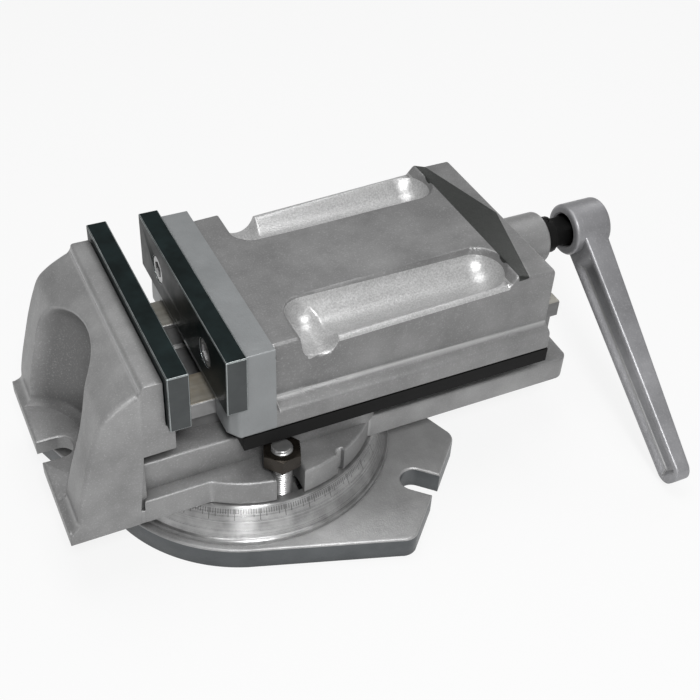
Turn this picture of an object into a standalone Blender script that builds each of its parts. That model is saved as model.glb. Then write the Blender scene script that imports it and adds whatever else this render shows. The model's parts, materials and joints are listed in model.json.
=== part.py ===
# Swivel machine vise: a long moving jaw on ground rails, held down by keeper plates,
# drawn by a lead screw through a nut on the body, and turned on a swivel base by two T-bolts.
# Frame: the swivel axis is Z, the bench is z = 0, the screw runs along X with its crank at +X.

import math

import bmesh
import bpy
from mathutils import Matrix, Vector

# Clearances and shared sizes
SEAT_GAP = 0.0003
RUNNING_GAP = 0.0004
CUT_OVERRUN = 0.004
EMBED = 0.006
ROUND_STEPS = 64
SMALL_STEPS = 24
BOLT_STEPS = 16
FILLET_STEPS = 4

# Swivel base
BASE_PLATE_HEIGHT = 0.0175
BASE_RIM_WIDTH = 0.0045
LUG_DIRECTION = math.radians(-44)
LUG_LENGTH = 0.034
LUG_HALF_WIDTH = 0.054
LUG_CORNER_RADIUS = 0.010
LUG_SLOT_WIDTH = 0.019
LUG_SLOT_DEPTH = 0.025
BASE_EDGE_BEVEL = 0.0012
RING_STEP_WIDTH = 0.003
RING_STEP_HEIGHT = 0.0035
RING_FLARE = 0.0075
RING_FOOT_RISE = 0.006
RING_WALL = 0.0135
RING_TOP_Z = 0.042
GROOVE_LIP_HEIGHT = 0.0105
GROOVE_ENTRY_RADIUS = 0.0155
GROOVE_ENTRY_DIRECTION = math.radians(90)

# T-bolts that clamp the swivel
BOLT_CIRCLE_RADIUS = 0.0775
STUD_RADIUS = 0.007
STUD_TOP_Z = 0.079
T_HEAD_LENGTH = 0.026
T_HEAD_WIDTH = 0.022
T_HEAD_HEIGHT = 0.009
SWIVEL_NUT_FLATS = 0.023
SWIVEL_NUT_HEIGHT = 0.0105
SWIVEL_NUT_LIFT = 0.0055
SWIVEL_NUT_TURN = math.radians(-20)
BOLT_TURN = math.radians(-3.3)
STUD_SLOT_TURN = math.radians(-1.8)
STUD_SLOT_WIDTH = 0.0188
NUT_CHAMFER = 0.0012

# Pivot pin under the body
PIN_RADIUS = 0.0155
PIN_TOP_Z = 0.0635

# Body: foot flange, flanks and rails
FLANGE_TOP_Z = 0.0607
FLANGE_RIM = 0.0115
FOOT_END_X = -0.1395
FOOT_INSET = 0.0065
TAIL_END_X = 0.225
TAIL_INSET = 0.020
TAIL_CORNER_RADIUS = 0.010
FOOT_SLOT_WIDTH = 0.018
FOOT_SLOT_DEPTH = 0.022
TAIL_SLOT_DEPTH = 0.0155
FLANK_CLEARANCE = 0.0006
FLANK_TOP_Z = 0.0825
FLANK_REAR_X = 0.078
FLANK_CORNER_RADIUS = 0.022
WEB_HALF_WIDTH = 0.046
RAIL_HALF_WIDTH = 0.052
RAIL_TOP_Z = 0.1085
RAIL_FLANGE_HEIGHT = 0.012
RAIL_REAR_X = 0.213
CHANNEL_HALF_WIDTH = 0.025
CHANNEL_FLOOR_Z = 0.0885
CAST_BEVEL = 0.0015

# Jaw plates and their screws
JAW_WIDTH = 0.160
PLATE_HEIGHT = 0.0408
PLATE_THICKNESS = 0.0132
JAW_TOP_Z = 0.1605
FIXED_FACE_X = -0.062
JAW_OPENING = 0.0215
PLATE_BEVEL = 0.0005
PLATE_SCREW_SPREAD = 0.044
PLATE_SCREW_DROP = 0.0205
PLATE_SCREW_HEAD_RADIUS = 0.009
PLATE_SCREW_HEAD_HEIGHT = 0.0072
PLATE_SCREW_SHANK_RADIUS = 0.0058
PLATE_SCREW_LENGTH = 0.024
PLATE_SCREW_SOCKET_FLATS = 0.010
PLATE_SCREW_SOCKET_DEPTH = 0.0045

# Fixed jaw, cast in one with the body
FIXED_JAW_TOP_Z = 0.1535
FIXED_JAW_INSET = 0.0072
FIXED_STRIP_LENGTH = 0.0125
FIXED_STRIP_DROP = 0.004
FIXED_LEDGE_REACH = 0.0055
FIXED_LEDGE_BOTTOM_Z = 0.099
FIXED_FRONT_X = -0.090
BACK_SHOULDER_X = -0.109
BACK_SHOULDER_Z = 0.14
BACK_WAIST_X = -0.1212
BACK_WAIST_Z = 0.1075
BACK_HEEL_X = -0.1325
BACK_HEEL_Z = 0.0635
BACK_FOOT_X = -0.1365
FOOT_PAD_TOP_Z = 0.053
FIXED_JAW_BEVEL = 0.0025
SCOOP_CENTRE_X = -0.136
SCOOP_DEPTH_SHARE = 0.72
SCOOP_TOP_Z = 0.1505
SCOOP_BELLY_Z = 0.1075
SCOOP_SIDE_WALL = 0.0228
SCOOP_TAPER = 0.007
SCOOP_LEAN = 0.016

# Moving jaw casting
STRIP_LENGTH = 0.0184
STRIP_INSET = 0.0038
STRIP_TOP_Z = 0.1575
PANEL_FRONT_INSET = 0.0108
PANEL_REAR_INSET = 0.0085
DECK_FRONT_Z = 0.154
PLATEAU_END_Z = 0.1585
TAIL_DECK_Z = 0.1555
JAW_TAIL_X = 0.1876
RIM_INSET = 0.001
RIM_TOP_Z = 0.1095
RIM_SLOPE_HEIGHT = 0.005
JAW_BOTTOM_Z = 0.0965
DRAFT_START_Z = 0.0985
TOE_REACH = 0.0107
TOE_SLOPE_LENGTH = 0.0058
TOE_SLOPE_HEIGHT = 0.004
TOE_CORNER_WIDTH = 0.008
PLATEAU_END_X = 0.1595
RAMP_SIDE_LENGTH = 0.008
TROUGH_WALL = 0.0016
TROUGH_RADIUS = 0.0184
TROUGH_CENTRE_Z = 0.1595
TROUGH_FRONT_X = 0.030
TROUGH_REAR_X = 0.1415
TROUGH_RIM_FRONT_Z = 0.1467
TROUGH_RIM_REAR_Z = 0.1524
TROUGH_RIM_REAR_X = 0.1535
TROUGH_RIM_UPTURN = 0.0058
NOTCH_X = 0.0233
NOTCH_RADIUS = 0.012
NOTCH_CENTRE_Z = 0.149
NOTCH_OVERLAP = 0.0035
CAVITY_FRONT_X = -0.008
CAVITY_REAR_X = 0.160
CAVITY_HALF_WIDTH = 0.030
CAVITY_TOP_Z = 0.1455
BOSS_RADIUS = 0.0184
BOSS_END_X = 0.2245
BOSS_FILLET = 0.009
BOSS_EDGE = 0.0015

# Keeper plates under the moving jaw
KEEPER_TOP_Z = 0.0962
KEEPER_THICKNESS = 0.0107
KEEPER_CLEARANCE = 0.0015
KEEPER_FRONT_X = -0.030
KEEPER_SCREW_INSET = 0.018
KEEPER_SCREW_COUNT = 4
KEEPER_SCREW_EDGE = 0.013
KEEPER_SCREW_HEAD_RADIUS = 0.0063
KEEPER_SCREW_HEAD_HEIGHT = 0.005
KEEPER_SCREW_SHANK_RADIUS = 0.0039
KEEPER_SCREW_LENGTH = 0.016

# Lead screw, its nut and its bearings
SCREW_Z = 0.1255
SCREW_RADIUS = 0.0118
SCREW_FRONT_X = -0.0074
SHOULDER_RADIUS = 0.017
SHOULDER_LENGTH = 0.005
JOURNAL_RADIUS = 0.0105
THRUST_RING_THICKNESS = 0.0028
COLLAR_RADIUS = 0.013
COLLAR_LENGTH = 0.0085
COLLAR_SCREW_RADIUS = 0.002
DRIVE_FLATS = 0.0165
DRIVE_END_X = 0.272
SCREW_CHAMFER = 0.0015
NUT_FRONT_X = 0.0965
NUT_LENGTH = 0.0295
NUT_HALF_WIDTH = 0.0225
NUT_TOP_Z = 0.1425
NUT_BOLT_HEAD_RADIUS = 0.0065
NUT_BOLT_HEAD_HEIGHT = 0.006
NUT_BOLT_SHANK_RADIUS = 0.0039
NUT_BOLT_GRIP = 0.014
NUT_BOLT_SEAT_Z = 0.0785

# Crank
HUB_FRONT_X = 0.246
HUB_LENGTH = 0.030
HUB_RADIUS = 0.0185
HUB_EDGE = 0.002
HUB_CAP = 0.0025
LEVER_ANGLE = math.radians(36.5)
LEVER_LENGTH = 0.194
LEVER_THICKNESS = 0.014
LEVER_ROOT_HALF_WIDTH = 0.0125
LEVER_TIP_HALF_WIDTH = 0.0130
LEVER_CORNER_RADIUS = 0.0120
LEVER_MID_X = 0.262
FLUTE_DEPTH = 0.004
FLUTE_RIM = 0.0048
FLUTE_START = 0.030
FLUTE_END_INSET = 0.007
FLUTE_CORNER_RADIUS = 0.006
LEVER_BEVEL = 0.0015

# Sizes that follow from the ones above
RING_TOP_RADIUS = BOLT_CIRCLE_RADIUS + RING_WALL
RING_FOOT_RADIUS = RING_TOP_RADIUS + RING_FLARE
RING_STEP_RADIUS = RING_FOOT_RADIUS + RING_STEP_WIDTH
BASE_DISC_RADIUS = RING_STEP_RADIUS + BASE_RIM_WIDTH
LUG_REACH = BASE_DISC_RADIUS + LUG_LENGTH
FLANGE_DISC_RADIUS = BOLT_CIRCLE_RADIUS + FLANGE_RIM
FLANK_HALF_WIDTH = (
    BOLT_CIRCLE_RADIUS
    - SWIVEL_NUT_FLATS / 2 / math.cos(math.radians(30))
    - FLANK_CLEARANCE
)
FOOT_HALF_WIDTH = JAW_WIDTH / 2 - FOOT_INSET
TAIL_HALF_WIDTH = JAW_WIDTH / 2 - TAIL_INSET
FIXED_JAW_HALF_WIDTH = JAW_WIDTH / 2 - FIXED_JAW_INSET
SCOOP_BELLY_HALF_WIDTH = FIXED_JAW_HALF_WIDTH - SCOOP_SIDE_WALL
SCOOP_FOOT_HALF_WIDTH = SCOOP_BELLY_HALF_WIDTH - SCOOP_TAPER
STRIP_HALF_WIDTH = JAW_WIDTH / 2 - STRIP_INSET
PANEL_FRONT_HALF_WIDTH = JAW_WIDTH / 2 - PANEL_FRONT_INSET
PANEL_REAR_HALF_WIDTH = JAW_WIDTH / 2 - PANEL_REAR_INSET
RIM_HALF_WIDTH = JAW_WIDTH / 2 - RIM_INSET
TROUGH_SPREAD = CAVITY_HALF_WIDTH + TROUGH_WALL + TROUGH_RADIUS
KEEPER_INNER_Y = WEB_HALF_WIDTH + KEEPER_CLEARANCE
KEEPER_SCREW_Y = RIM_HALF_WIDTH - KEEPER_SCREW_EDGE
FLANGE_BOTTOM_Z = RING_TOP_Z + SEAT_GAP
MOVING_FACE_X = FIXED_FACE_X + JAW_OPENING
MOVING_FRONT_X = MOVING_FACE_X + PLATE_THICKNESS + SEAT_GAP
FIXED_WALL_X = FIXED_FACE_X - PLATE_THICKNESS - SEAT_GAP
PLATE_BOTTOM_Z = JAW_TOP_Z - PLATE_HEIGHT
LEDGE_TOP_Z = PLATE_BOTTOM_Z - SEAT_GAP
STRIP_REAR_X = MOVING_FRONT_X + STRIP_LENGTH
PLATE_SCREW_Z = JAW_TOP_Z - PLATE_SCREW_DROP
THRUST_RING_REAR_X = CAVITY_REAR_X - SEAT_GAP
SHOULDER_REAR_X = THRUST_RING_REAR_X - THRUST_RING_THICKNESS - SEAT_GAP
COLLAR_FRONT_X = BOSS_END_X + SEAT_GAP

MATERIALS = {
    "cast_iron": ((0.36, 0.36, 0.37, 1.0), 0.45, 0.6),
    "jaw_steel": ((0.02, 0.035, 0.04, 1.0), 0.3, 0.7),
    "black_steel": ((0.02, 0.02, 0.022, 1.0), 0.4, 0.6),
    "ground_steel": ((0.5, 0.5, 0.5, 1.0), 0.3, 0.9),
    "dark_steel": ((0.08, 0.075, 0.07, 1.0), 0.35, 0.8),
    "bronze": ((0.45, 0.28, 0.12, 1.0), 0.4, 0.8),
    "chrome": ((0.5, 0.51, 0.52, 1.0), 0.3, 0.85),
}


def clear_scene():
    for old in list(bpy.data.objects):
        bpy.data.objects.remove(old, do_unlink=True)
    for old in list(bpy.data.collections):
        bpy.data.collections.remove(old)


def make_collection(name):
    collection = bpy.data.collections.new(name)
    bpy.context.scene.collection.children.link(collection)
    return collection


clear_scene()
PARTS = make_collection("swivel_machine_vise")
TOOLS = make_collection("cutters")


def material(name):
    found = bpy.data.materials.get(name)
    if found:
        return found
    colour, roughness, metallic = MATERIALS[name]
    made = bpy.data.materials.new(name)
    made.use_nodes = True
    shader = made.node_tree.nodes["Principled BSDF"]
    shader.inputs["Base Color"].default_value = colour
    shader.inputs["Roughness"].default_value = roughness
    shader.inputs["Metallic"].default_value = metallic
    made.diffuse_color = colour
    return made


def object_from(bm, name, place):
    mesh = bpy.data.meshes.new(name)
    bm.to_mesh(mesh)
    bm.free()
    made = bpy.data.objects.new(name, mesh)
    made.location = place
    TOOLS.objects.link(made)
    made.hide_render = True
    made.display_type = "WIRE"
    return made


def keep(made, finish, carrier=None, smooth=True):
    """Turn a helper shape into a named part with its finish and, if it moves, its carrier."""
    TOOLS.objects.unlink(made)
    PARTS.objects.link(made)
    made.hide_render = False
    made.display_type = "TEXTURED"
    made.data.materials.clear()
    made.data.materials.append(material(finish))
    if smooth:
        made.data.shade_smooth()
        made.data.set_sharp_from_angle(angle=math.radians(35))
    if carrier:
        made.parent = carrier
        made.location = Vector(made.location) - Vector(carrier["place"])
    return made


def axis_empty(name, place, carrier=None):
    """An empty that stands on a joint's axis; what moves with the joint is its child."""
    empty = bpy.data.objects.new(name, None)
    PARTS.objects.link(empty)
    empty["place"] = list(place)
    empty.location = place
    if carrier:
        empty.parent = carrier
        empty.location = Vector(place) - Vector(carrier["place"])
    return empty


def block(name, low, high):
    """A box between two opposite corners."""
    low = Vector(low)
    high = Vector(high)
    bm = bmesh.new()
    bmesh.ops.create_cube(bm, size=1)
    bmesh.ops.scale(bm, vec=high - low, verts=bm.verts)
    return object_from(bm, name, (low + high) / 2)


def rod(name, start, end, radius, steps=SMALL_STEPS, end_radius=None, turn=0.0):
    """A cylinder, or a cone when end_radius is given, from one point to another."""
    start = Vector(start)
    end = Vector(end)
    run = end - start
    bm = bmesh.new()
    top = radius if end_radius is None else end_radius
    bmesh.ops.create_cone(
        bm, cap_ends=True, segments=steps, radius1=radius, radius2=top, depth=run.length
    )
    bmesh.ops.rotate(bm, verts=bm.verts, matrix=Matrix.Rotation(turn, 3, "Z"))
    bmesh.ops.rotate(bm, verts=bm.verts, matrix=run.to_track_quat("Z", "Y").to_matrix())
    return object_from(bm, name, (start + end) / 2)


def turned(name, profile, place, closed, steps=ROUND_STEPS, along_x=False):
    """A profile of (radius, height) points, spun about Z or about X by a Screw modifier."""
    mesh = bpy.data.meshes.new(name)
    points = [(radius, 0.0, height) for radius, height in profile]
    links = [(i, i + 1) for i in range(len(points) - 1)]
    if closed:
        links.append((len(points) - 1, 0))
    mesh.from_pydata(points, links, [])
    made = bpy.data.objects.new(name, mesh)
    made.location = place
    if along_x:
        made.rotation_euler = (0.0, math.radians(90), 0.0)
    TOOLS.objects.link(made)
    made.hide_render = True
    made.display_type = "WIRE"
    spin = made.modifiers.new("spin", "SCREW")
    spin.steps = steps
    spin.render_steps = steps
    spin.use_merge_vertices = True
    spin.merge_threshold = 0.00001
    return made


def fillet(corners, steps=FILLET_STEPS):
    """Points of an outline whose (x, y, radius) corners are rounded by arcs."""
    points = []
    count = len(corners)
    for index, (x, y, radius) in enumerate(corners):
        here = Vector((x, y))
        if radius <= 0.0:
            points.append(here)
            continue
        before = Vector(corners[index - 1][:2]) - here
        after = Vector(corners[(index + 1) % count][:2]) - here
        half = before.angle(after) / 2
        setback = radius / math.tan(half)
        centre = here + (before.normalized() + after.normalized()).normalized() * (
            radius / math.sin(half)
        )
        first = here + before.normalized() * setback - centre
        last = here + after.normalized() * setback - centre
        sweep = first.angle_signed(last)
        for step in range(steps + 1):
            spoke = first.copy()
            spoke.rotate(Matrix.Rotation(-sweep * step / steps, 2))
            points.append(centre + spoke)
    return points


def slab(name, outline, low, high, plane="XY"):
    """A flat outline made as a filled 2D curve, extruded from low to high across its plane."""
    curve = bpy.data.curves.new(name, "CURVE")
    curve.dimensions = "2D"
    curve.fill_mode = "BOTH"
    curve.extrude = (high - low) / 2
    spline = curve.splines.new("POLY")
    spline.points.add(len(outline) - 1)
    for point, (x, y) in zip(spline.points, outline):
        point.co = (x, y, 0.0, 1.0)
    spline.use_cyclic_u = True
    flat = bpy.data.objects.new(name, curve)
    TOOLS.objects.link(flat)
    bpy.context.view_layer.update()
    mesh = bpy.data.meshes.new_from_object(
        flat.evaluated_get(bpy.context.evaluated_depsgraph_get())
    )
    bpy.data.objects.remove(flat, do_unlink=True)
    bm = bmesh.new()
    bm.from_mesh(mesh)
    bmesh.ops.remove_doubles(bm, verts=bm.verts, dist=0.00001)
    bmesh.ops.dissolve_limit(
        bm, angle_limit=math.radians(0.1), verts=bm.verts, edges=bm.edges
    )
    bmesh.ops.recalc_face_normals(bm, faces=bm.faces)
    middle = (low + high) / 2
    turns = {
        "XY": (0.0, 0.0, 0.0),
        "XZ": (math.radians(90), 0.0, 0.0),
        "YZ": (math.radians(90), 0.0, math.radians(90)),
    }
    places = {
        "XY": (0.0, 0.0, middle),
        "XZ": (0.0, middle, 0.0),
        "YZ": (middle, 0.0, 0.0),
    }
    made = object_from(bm, name, places[plane])
    made.rotation_euler = turns[plane]
    return made


def mirrored_outline(half):
    """Close a half outline, given from -Y round to the X axis, by its mirror image in Y."""
    return list(half) + [Vector((p[0], -p[1])) for p in reversed(half)]


def combine(target, other, operation):
    change = target.modifiers.new(other.name, "BOOLEAN")
    change.object = other
    change.operation = operation
    change.solver = "EXACT"


def join(target, *others):
    for other in others:
        combine(target, other, "UNION")


def cut(target, *others):
    for other in others:
        combine(target, other, "DIFFERENCE")


def bevel(target, width, angle=40, segments=1):
    edge = target.modifiers.new("edge", "BEVEL")
    edge.width = width
    edge.segments = segments
    edge.limit_method = "ANGLE"
    edge.angle_limit = math.radians(angle)
    edge.use_clamp_overlap = True


def arc(radius, start, end, steps):
    """Points of an arc about the origin, from one angle to another."""
    return [
        Vector(
            (
                radius * math.cos(start + (end - start) * step / steps),
                radius * math.sin(start + (end - start) * step / steps),
            )
        )
        for step in range(steps + 1)
    ]


def lug_outline():
    """The base plate: a disc with two opposite lugs whose sides are tangent to the disc."""
    reach = math.hypot(LUG_REACH, LUG_HALF_WIDTH)
    spread = math.atan2(LUG_HALF_WIDTH, LUG_REACH)
    touch = spread + math.acos(BASE_DISC_RADIUS / reach)
    points = []
    for side in (0.0, math.pi):
        corners = fillet(
            [
                (0.0, 0.0, 0.0),
                (
                    BASE_DISC_RADIUS * math.cos(-touch),
                    BASE_DISC_RADIUS * math.sin(-touch),
                    0.0,
                ),
                (LUG_REACH, -LUG_HALF_WIDTH, LUG_CORNER_RADIUS),
                (LUG_REACH, LUG_HALF_WIDTH, LUG_CORNER_RADIUS),
            ]
        )[2:]
        points += [rotated(p, side) for p in corners]
        points += arc(BASE_DISC_RADIUS, side + touch, side + math.pi - touch, 10)
    return points


def rotated(point, angle):
    turned_point = Vector(point)
    turned_point.rotate(Matrix.Rotation(angle, 2))
    return turned_point


def slot_cutter(name, mouth_x, inward, width, depth, low, high):
    """An open-ended bolt slot along X: a round inner end and a mouth run out past the edge."""
    end_x = mouth_x + inward * (depth - width / 2)
    mouth = mouth_x - inward * CUT_OVERRUN
    half = width / 2
    start = math.radians(90) if inward < 0 else math.radians(-90)
    round_end = [
        Vector((end_x, 0.0)) + p for p in arc(half, start, start + math.pi, 8)
    ]
    outline = round_end + [
        Vector((mouth, round_end[-1][1])),
        Vector((mouth, round_end[0][1])),
    ]
    return slab(name, outline, low, high)


def build_swivel_base(origin):
    base = slab("swivel_base", lug_outline(), 0.0, BASE_PLATE_HEIGHT)
    base.rotation_euler = (0.0, 0.0, LUG_DIRECTION)
    bevel(base, BASE_EDGE_BEVEL)
    neck_inner = BOLT_CIRCLE_RADIUS - STUD_RADIUS - 2 * RUNNING_GAP
    neck_outer = BOLT_CIRCLE_RADIUS + STUD_RADIUS + 2 * RUNNING_GAP
    cavity_inner = BOLT_CIRCLE_RADIUS - T_HEAD_WIDTH / 2 - RUNNING_GAP
    cavity_outer = (
        math.hypot(BOLT_CIRCLE_RADIUS + T_HEAD_WIDTH / 2, T_HEAD_LENGTH / 2)
        + 2 * RUNNING_GAP
    )
    lip_z = RING_TOP_Z - GROOVE_LIP_HEIGHT
    buried = BASE_PLATE_HEIGHT - EMBED
    ring = turned(
        "graduated_ring",
        [
            (0.0, RING_TOP_Z),
            (RING_TOP_RADIUS, RING_TOP_Z),
            (RING_FOOT_RADIUS, BASE_PLATE_HEIGHT + RING_FOOT_RISE),
            (RING_STEP_RADIUS, BASE_PLATE_HEIGHT + RING_STEP_HEIGHT),
            (RING_STEP_RADIUS, buried),
            (0.0, buried),
        ],
        (0.0, 0.0, 0.0),
        closed=False,
    )
    groove = turned(
        "t_groove",
        [
            (neck_outer, RING_TOP_Z + CUT_OVERRUN),
            (neck_outer, lip_z),
            (cavity_outer, lip_z),
            (cavity_outer, BASE_PLATE_HEIGHT),
            (cavity_inner, BASE_PLATE_HEIGHT),
            (cavity_inner, lip_z),
            (neck_inner, lip_z),
            (neck_inner, RING_TOP_Z + CUT_OVERRUN),
        ],
        (0.0, 0.0, 0.0),
        closed=True,
    )
    bore = rod(
        "pivot_bore",
        (0.0, 0.0, BASE_PLATE_HEIGHT),
        (0.0, 0.0, RING_TOP_Z + CUT_OVERRUN),
        PIN_RADIUS + SEAT_GAP,
        32,
    )
    join(base, ring)
    cut(base, groove, bore)
    for side, name in ((1, "front_lug_slot"), (-1, "back_lug_slot")):
        slot = slot_cutter(
            name,
            side * LUG_REACH,
            -side,
            LUG_SLOT_WIDTH,
            LUG_SLOT_DEPTH,
            -CUT_OVERRUN,
            BASE_PLATE_HEIGHT + CUT_OVERRUN,
        )
        slot.rotation_euler = (0.0, 0.0, LUG_DIRECTION)
        cut(base, slot)
        way = rotated(
            (side * BOLT_CIRCLE_RADIUS, 0.0), LUG_DIRECTION + GROOVE_ENTRY_DIRECTION
        )
        entry = rod(
            "groove_entry",
            (way[0], way[1], -CUT_OVERRUN),
            (way[0], way[1], BASE_PLATE_HEIGHT + T_HEAD_HEIGHT),
            GROOVE_ENTRY_RADIUS,
        )
        cut(base, entry)
    return keep(base, "cast_iron", origin)


def build_pivot_pin(origin):
    pin = rod(
        "pivot_pin",
        (0.0, 0.0, BASE_PLATE_HEIGHT + SEAT_GAP),
        (0.0, 0.0, PIN_TOP_Z),
        PIN_RADIUS,
        32,
    )
    bevel(pin, SCREW_CHAMFER)
    return keep(pin, "ground_steel", origin)


def foot_outline():
    """Foot flange in plan: a straight foot, the round swivel flange and the tail plate."""
    foot_join = math.acos(FOOT_HALF_WIDTH / FLANGE_DISC_RADIUS)
    tail_join = math.acos(TAIL_HALF_WIDTH / FLANGE_DISC_RADIUS)
    down = math.radians(-90)
    half = [Vector((FOOT_END_X, -FOOT_HALF_WIDTH))]
    half += arc(FLANGE_DISC_RADIUS, down - foot_join, down + tail_join, 14)
    corner = [
        (0.0, -TAIL_HALF_WIDTH, 0.0),
        (TAIL_END_X, -TAIL_HALF_WIDTH, TAIL_CORNER_RADIUS),
        (TAIL_END_X, 0.0, 0.0),
    ]
    half += fillet(corner, 6)[1:-1]
    return mirrored_outline(half)


def rail_outline():
    """Rails in section: two flanged rails with the screw channel between them."""
    flange_z = RAIL_TOP_Z - RAIL_FLANGE_HEIGHT
    buried = FLANGE_TOP_Z - EMBED
    half = [
        (-WEB_HALF_WIDTH, buried),
        (-WEB_HALF_WIDTH, flange_z),
        (-RAIL_HALF_WIDTH, flange_z),
        (-RAIL_HALF_WIDTH, RAIL_TOP_Z),
        (-CHANNEL_HALF_WIDTH, RAIL_TOP_Z),
        (-CHANNEL_HALF_WIDTH, CHANNEL_FLOOR_Z),
    ]
    return [Vector(p) for p in half] + [Vector((-y, z)) for y, z in reversed(half)]


def flank_outline():
    """Flanks in plan: parallel sides that curve in to the rail web behind the swivel."""
    half = fillet(
        [
            (FIXED_FRONT_X - EMBED, 0.0, 0.0),
            (FIXED_FRONT_X - EMBED, -FLANK_HALF_WIDTH, 0.0),
            (FLANK_REAR_X, -FLANK_HALF_WIDTH, FLANK_CORNER_RADIUS),
            (FLANK_REAR_X, 0.0, 0.0),
        ],
        5,
    )
    return mirrored_outline(half[1:-1])


def fixed_jaw_outline():
    """Fixed jaw in side view: strip, clamping wall, ledge, foot and the sweeping back."""
    strip_x = FIXED_WALL_X - FIXED_STRIP_LENGTH
    strip_z = FIXED_JAW_TOP_Z - FIXED_STRIP_DROP
    return fillet(
        [
            (FIXED_WALL_X, FIXED_JAW_TOP_Z, 0.0),
            (FIXED_WALL_X, LEDGE_TOP_Z, 0.0),
            (FIXED_WALL_X + FIXED_LEDGE_REACH, LEDGE_TOP_Z, 0.0),
            (FIXED_WALL_X + FIXED_LEDGE_REACH, FIXED_LEDGE_BOTTOM_Z, 0.0),
            (FIXED_FRONT_X, FIXED_LEDGE_BOTTOM_Z, 0.0),
            (FIXED_FRONT_X, FLANGE_BOTTOM_Z + EMBED, 0.0),
            (BACK_FOOT_X, FLANGE_BOTTOM_Z + EMBED, 0.0),
            (BACK_FOOT_X, FOOT_PAD_TOP_Z, 0.0),
            (BACK_HEEL_X, BACK_HEEL_Z, EMBED * 2),
            (BACK_WAIST_X, BACK_WAIST_Z, BACK_WAIST_Z / 2),
            (BACK_SHOULDER_X, BACK_SHOULDER_Z, EMBED * 3),
            (strip_x, strip_z, 0.0),
            (strip_x, FIXED_JAW_TOP_Z, FIXED_STRIP_DROP / 2),
        ],
        4,
    )


def scoop_cutter():
    """The hollow in the fixed jaw's back: a leaning elliptic barrel with a domed top."""
    dome = SCOOP_TOP_Z - SCOOP_BELLY_Z
    steps = 6
    profile = [
        (
            SCOOP_BELLY_HALF_WIDTH * math.sin(math.radians(90) * step / steps),
            SCOOP_BELLY_Z + dome * math.cos(math.radians(90) * step / steps),
        )
        for step in range(steps + 1)
    ]
    profile += [(SCOOP_FOOT_HALF_WIDTH, FOOT_PAD_TOP_Z), (0.0, FOOT_PAD_TOP_Z)]
    scoop = turned("back_scoop", profile, (SCOOP_CENTRE_X, 0.0, 0.0), False, 32)
    bpy.context.view_layer.update()
    mesh = bpy.data.meshes.new_from_object(
        scoop.evaluated_get(bpy.context.evaluated_depsgraph_get())
    )
    scoop.modifiers.clear()
    scoop.data = mesh
    for vertex in mesh.vertices:
        rise = (vertex.co.z - FOOT_PAD_TOP_Z) / (SCOOP_TOP_Z - FOOT_PAD_TOP_Z)
        vertex.co.x = vertex.co.x * SCOOP_DEPTH_SHARE + SCOOP_LEAN * rise
    return scoop


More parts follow.
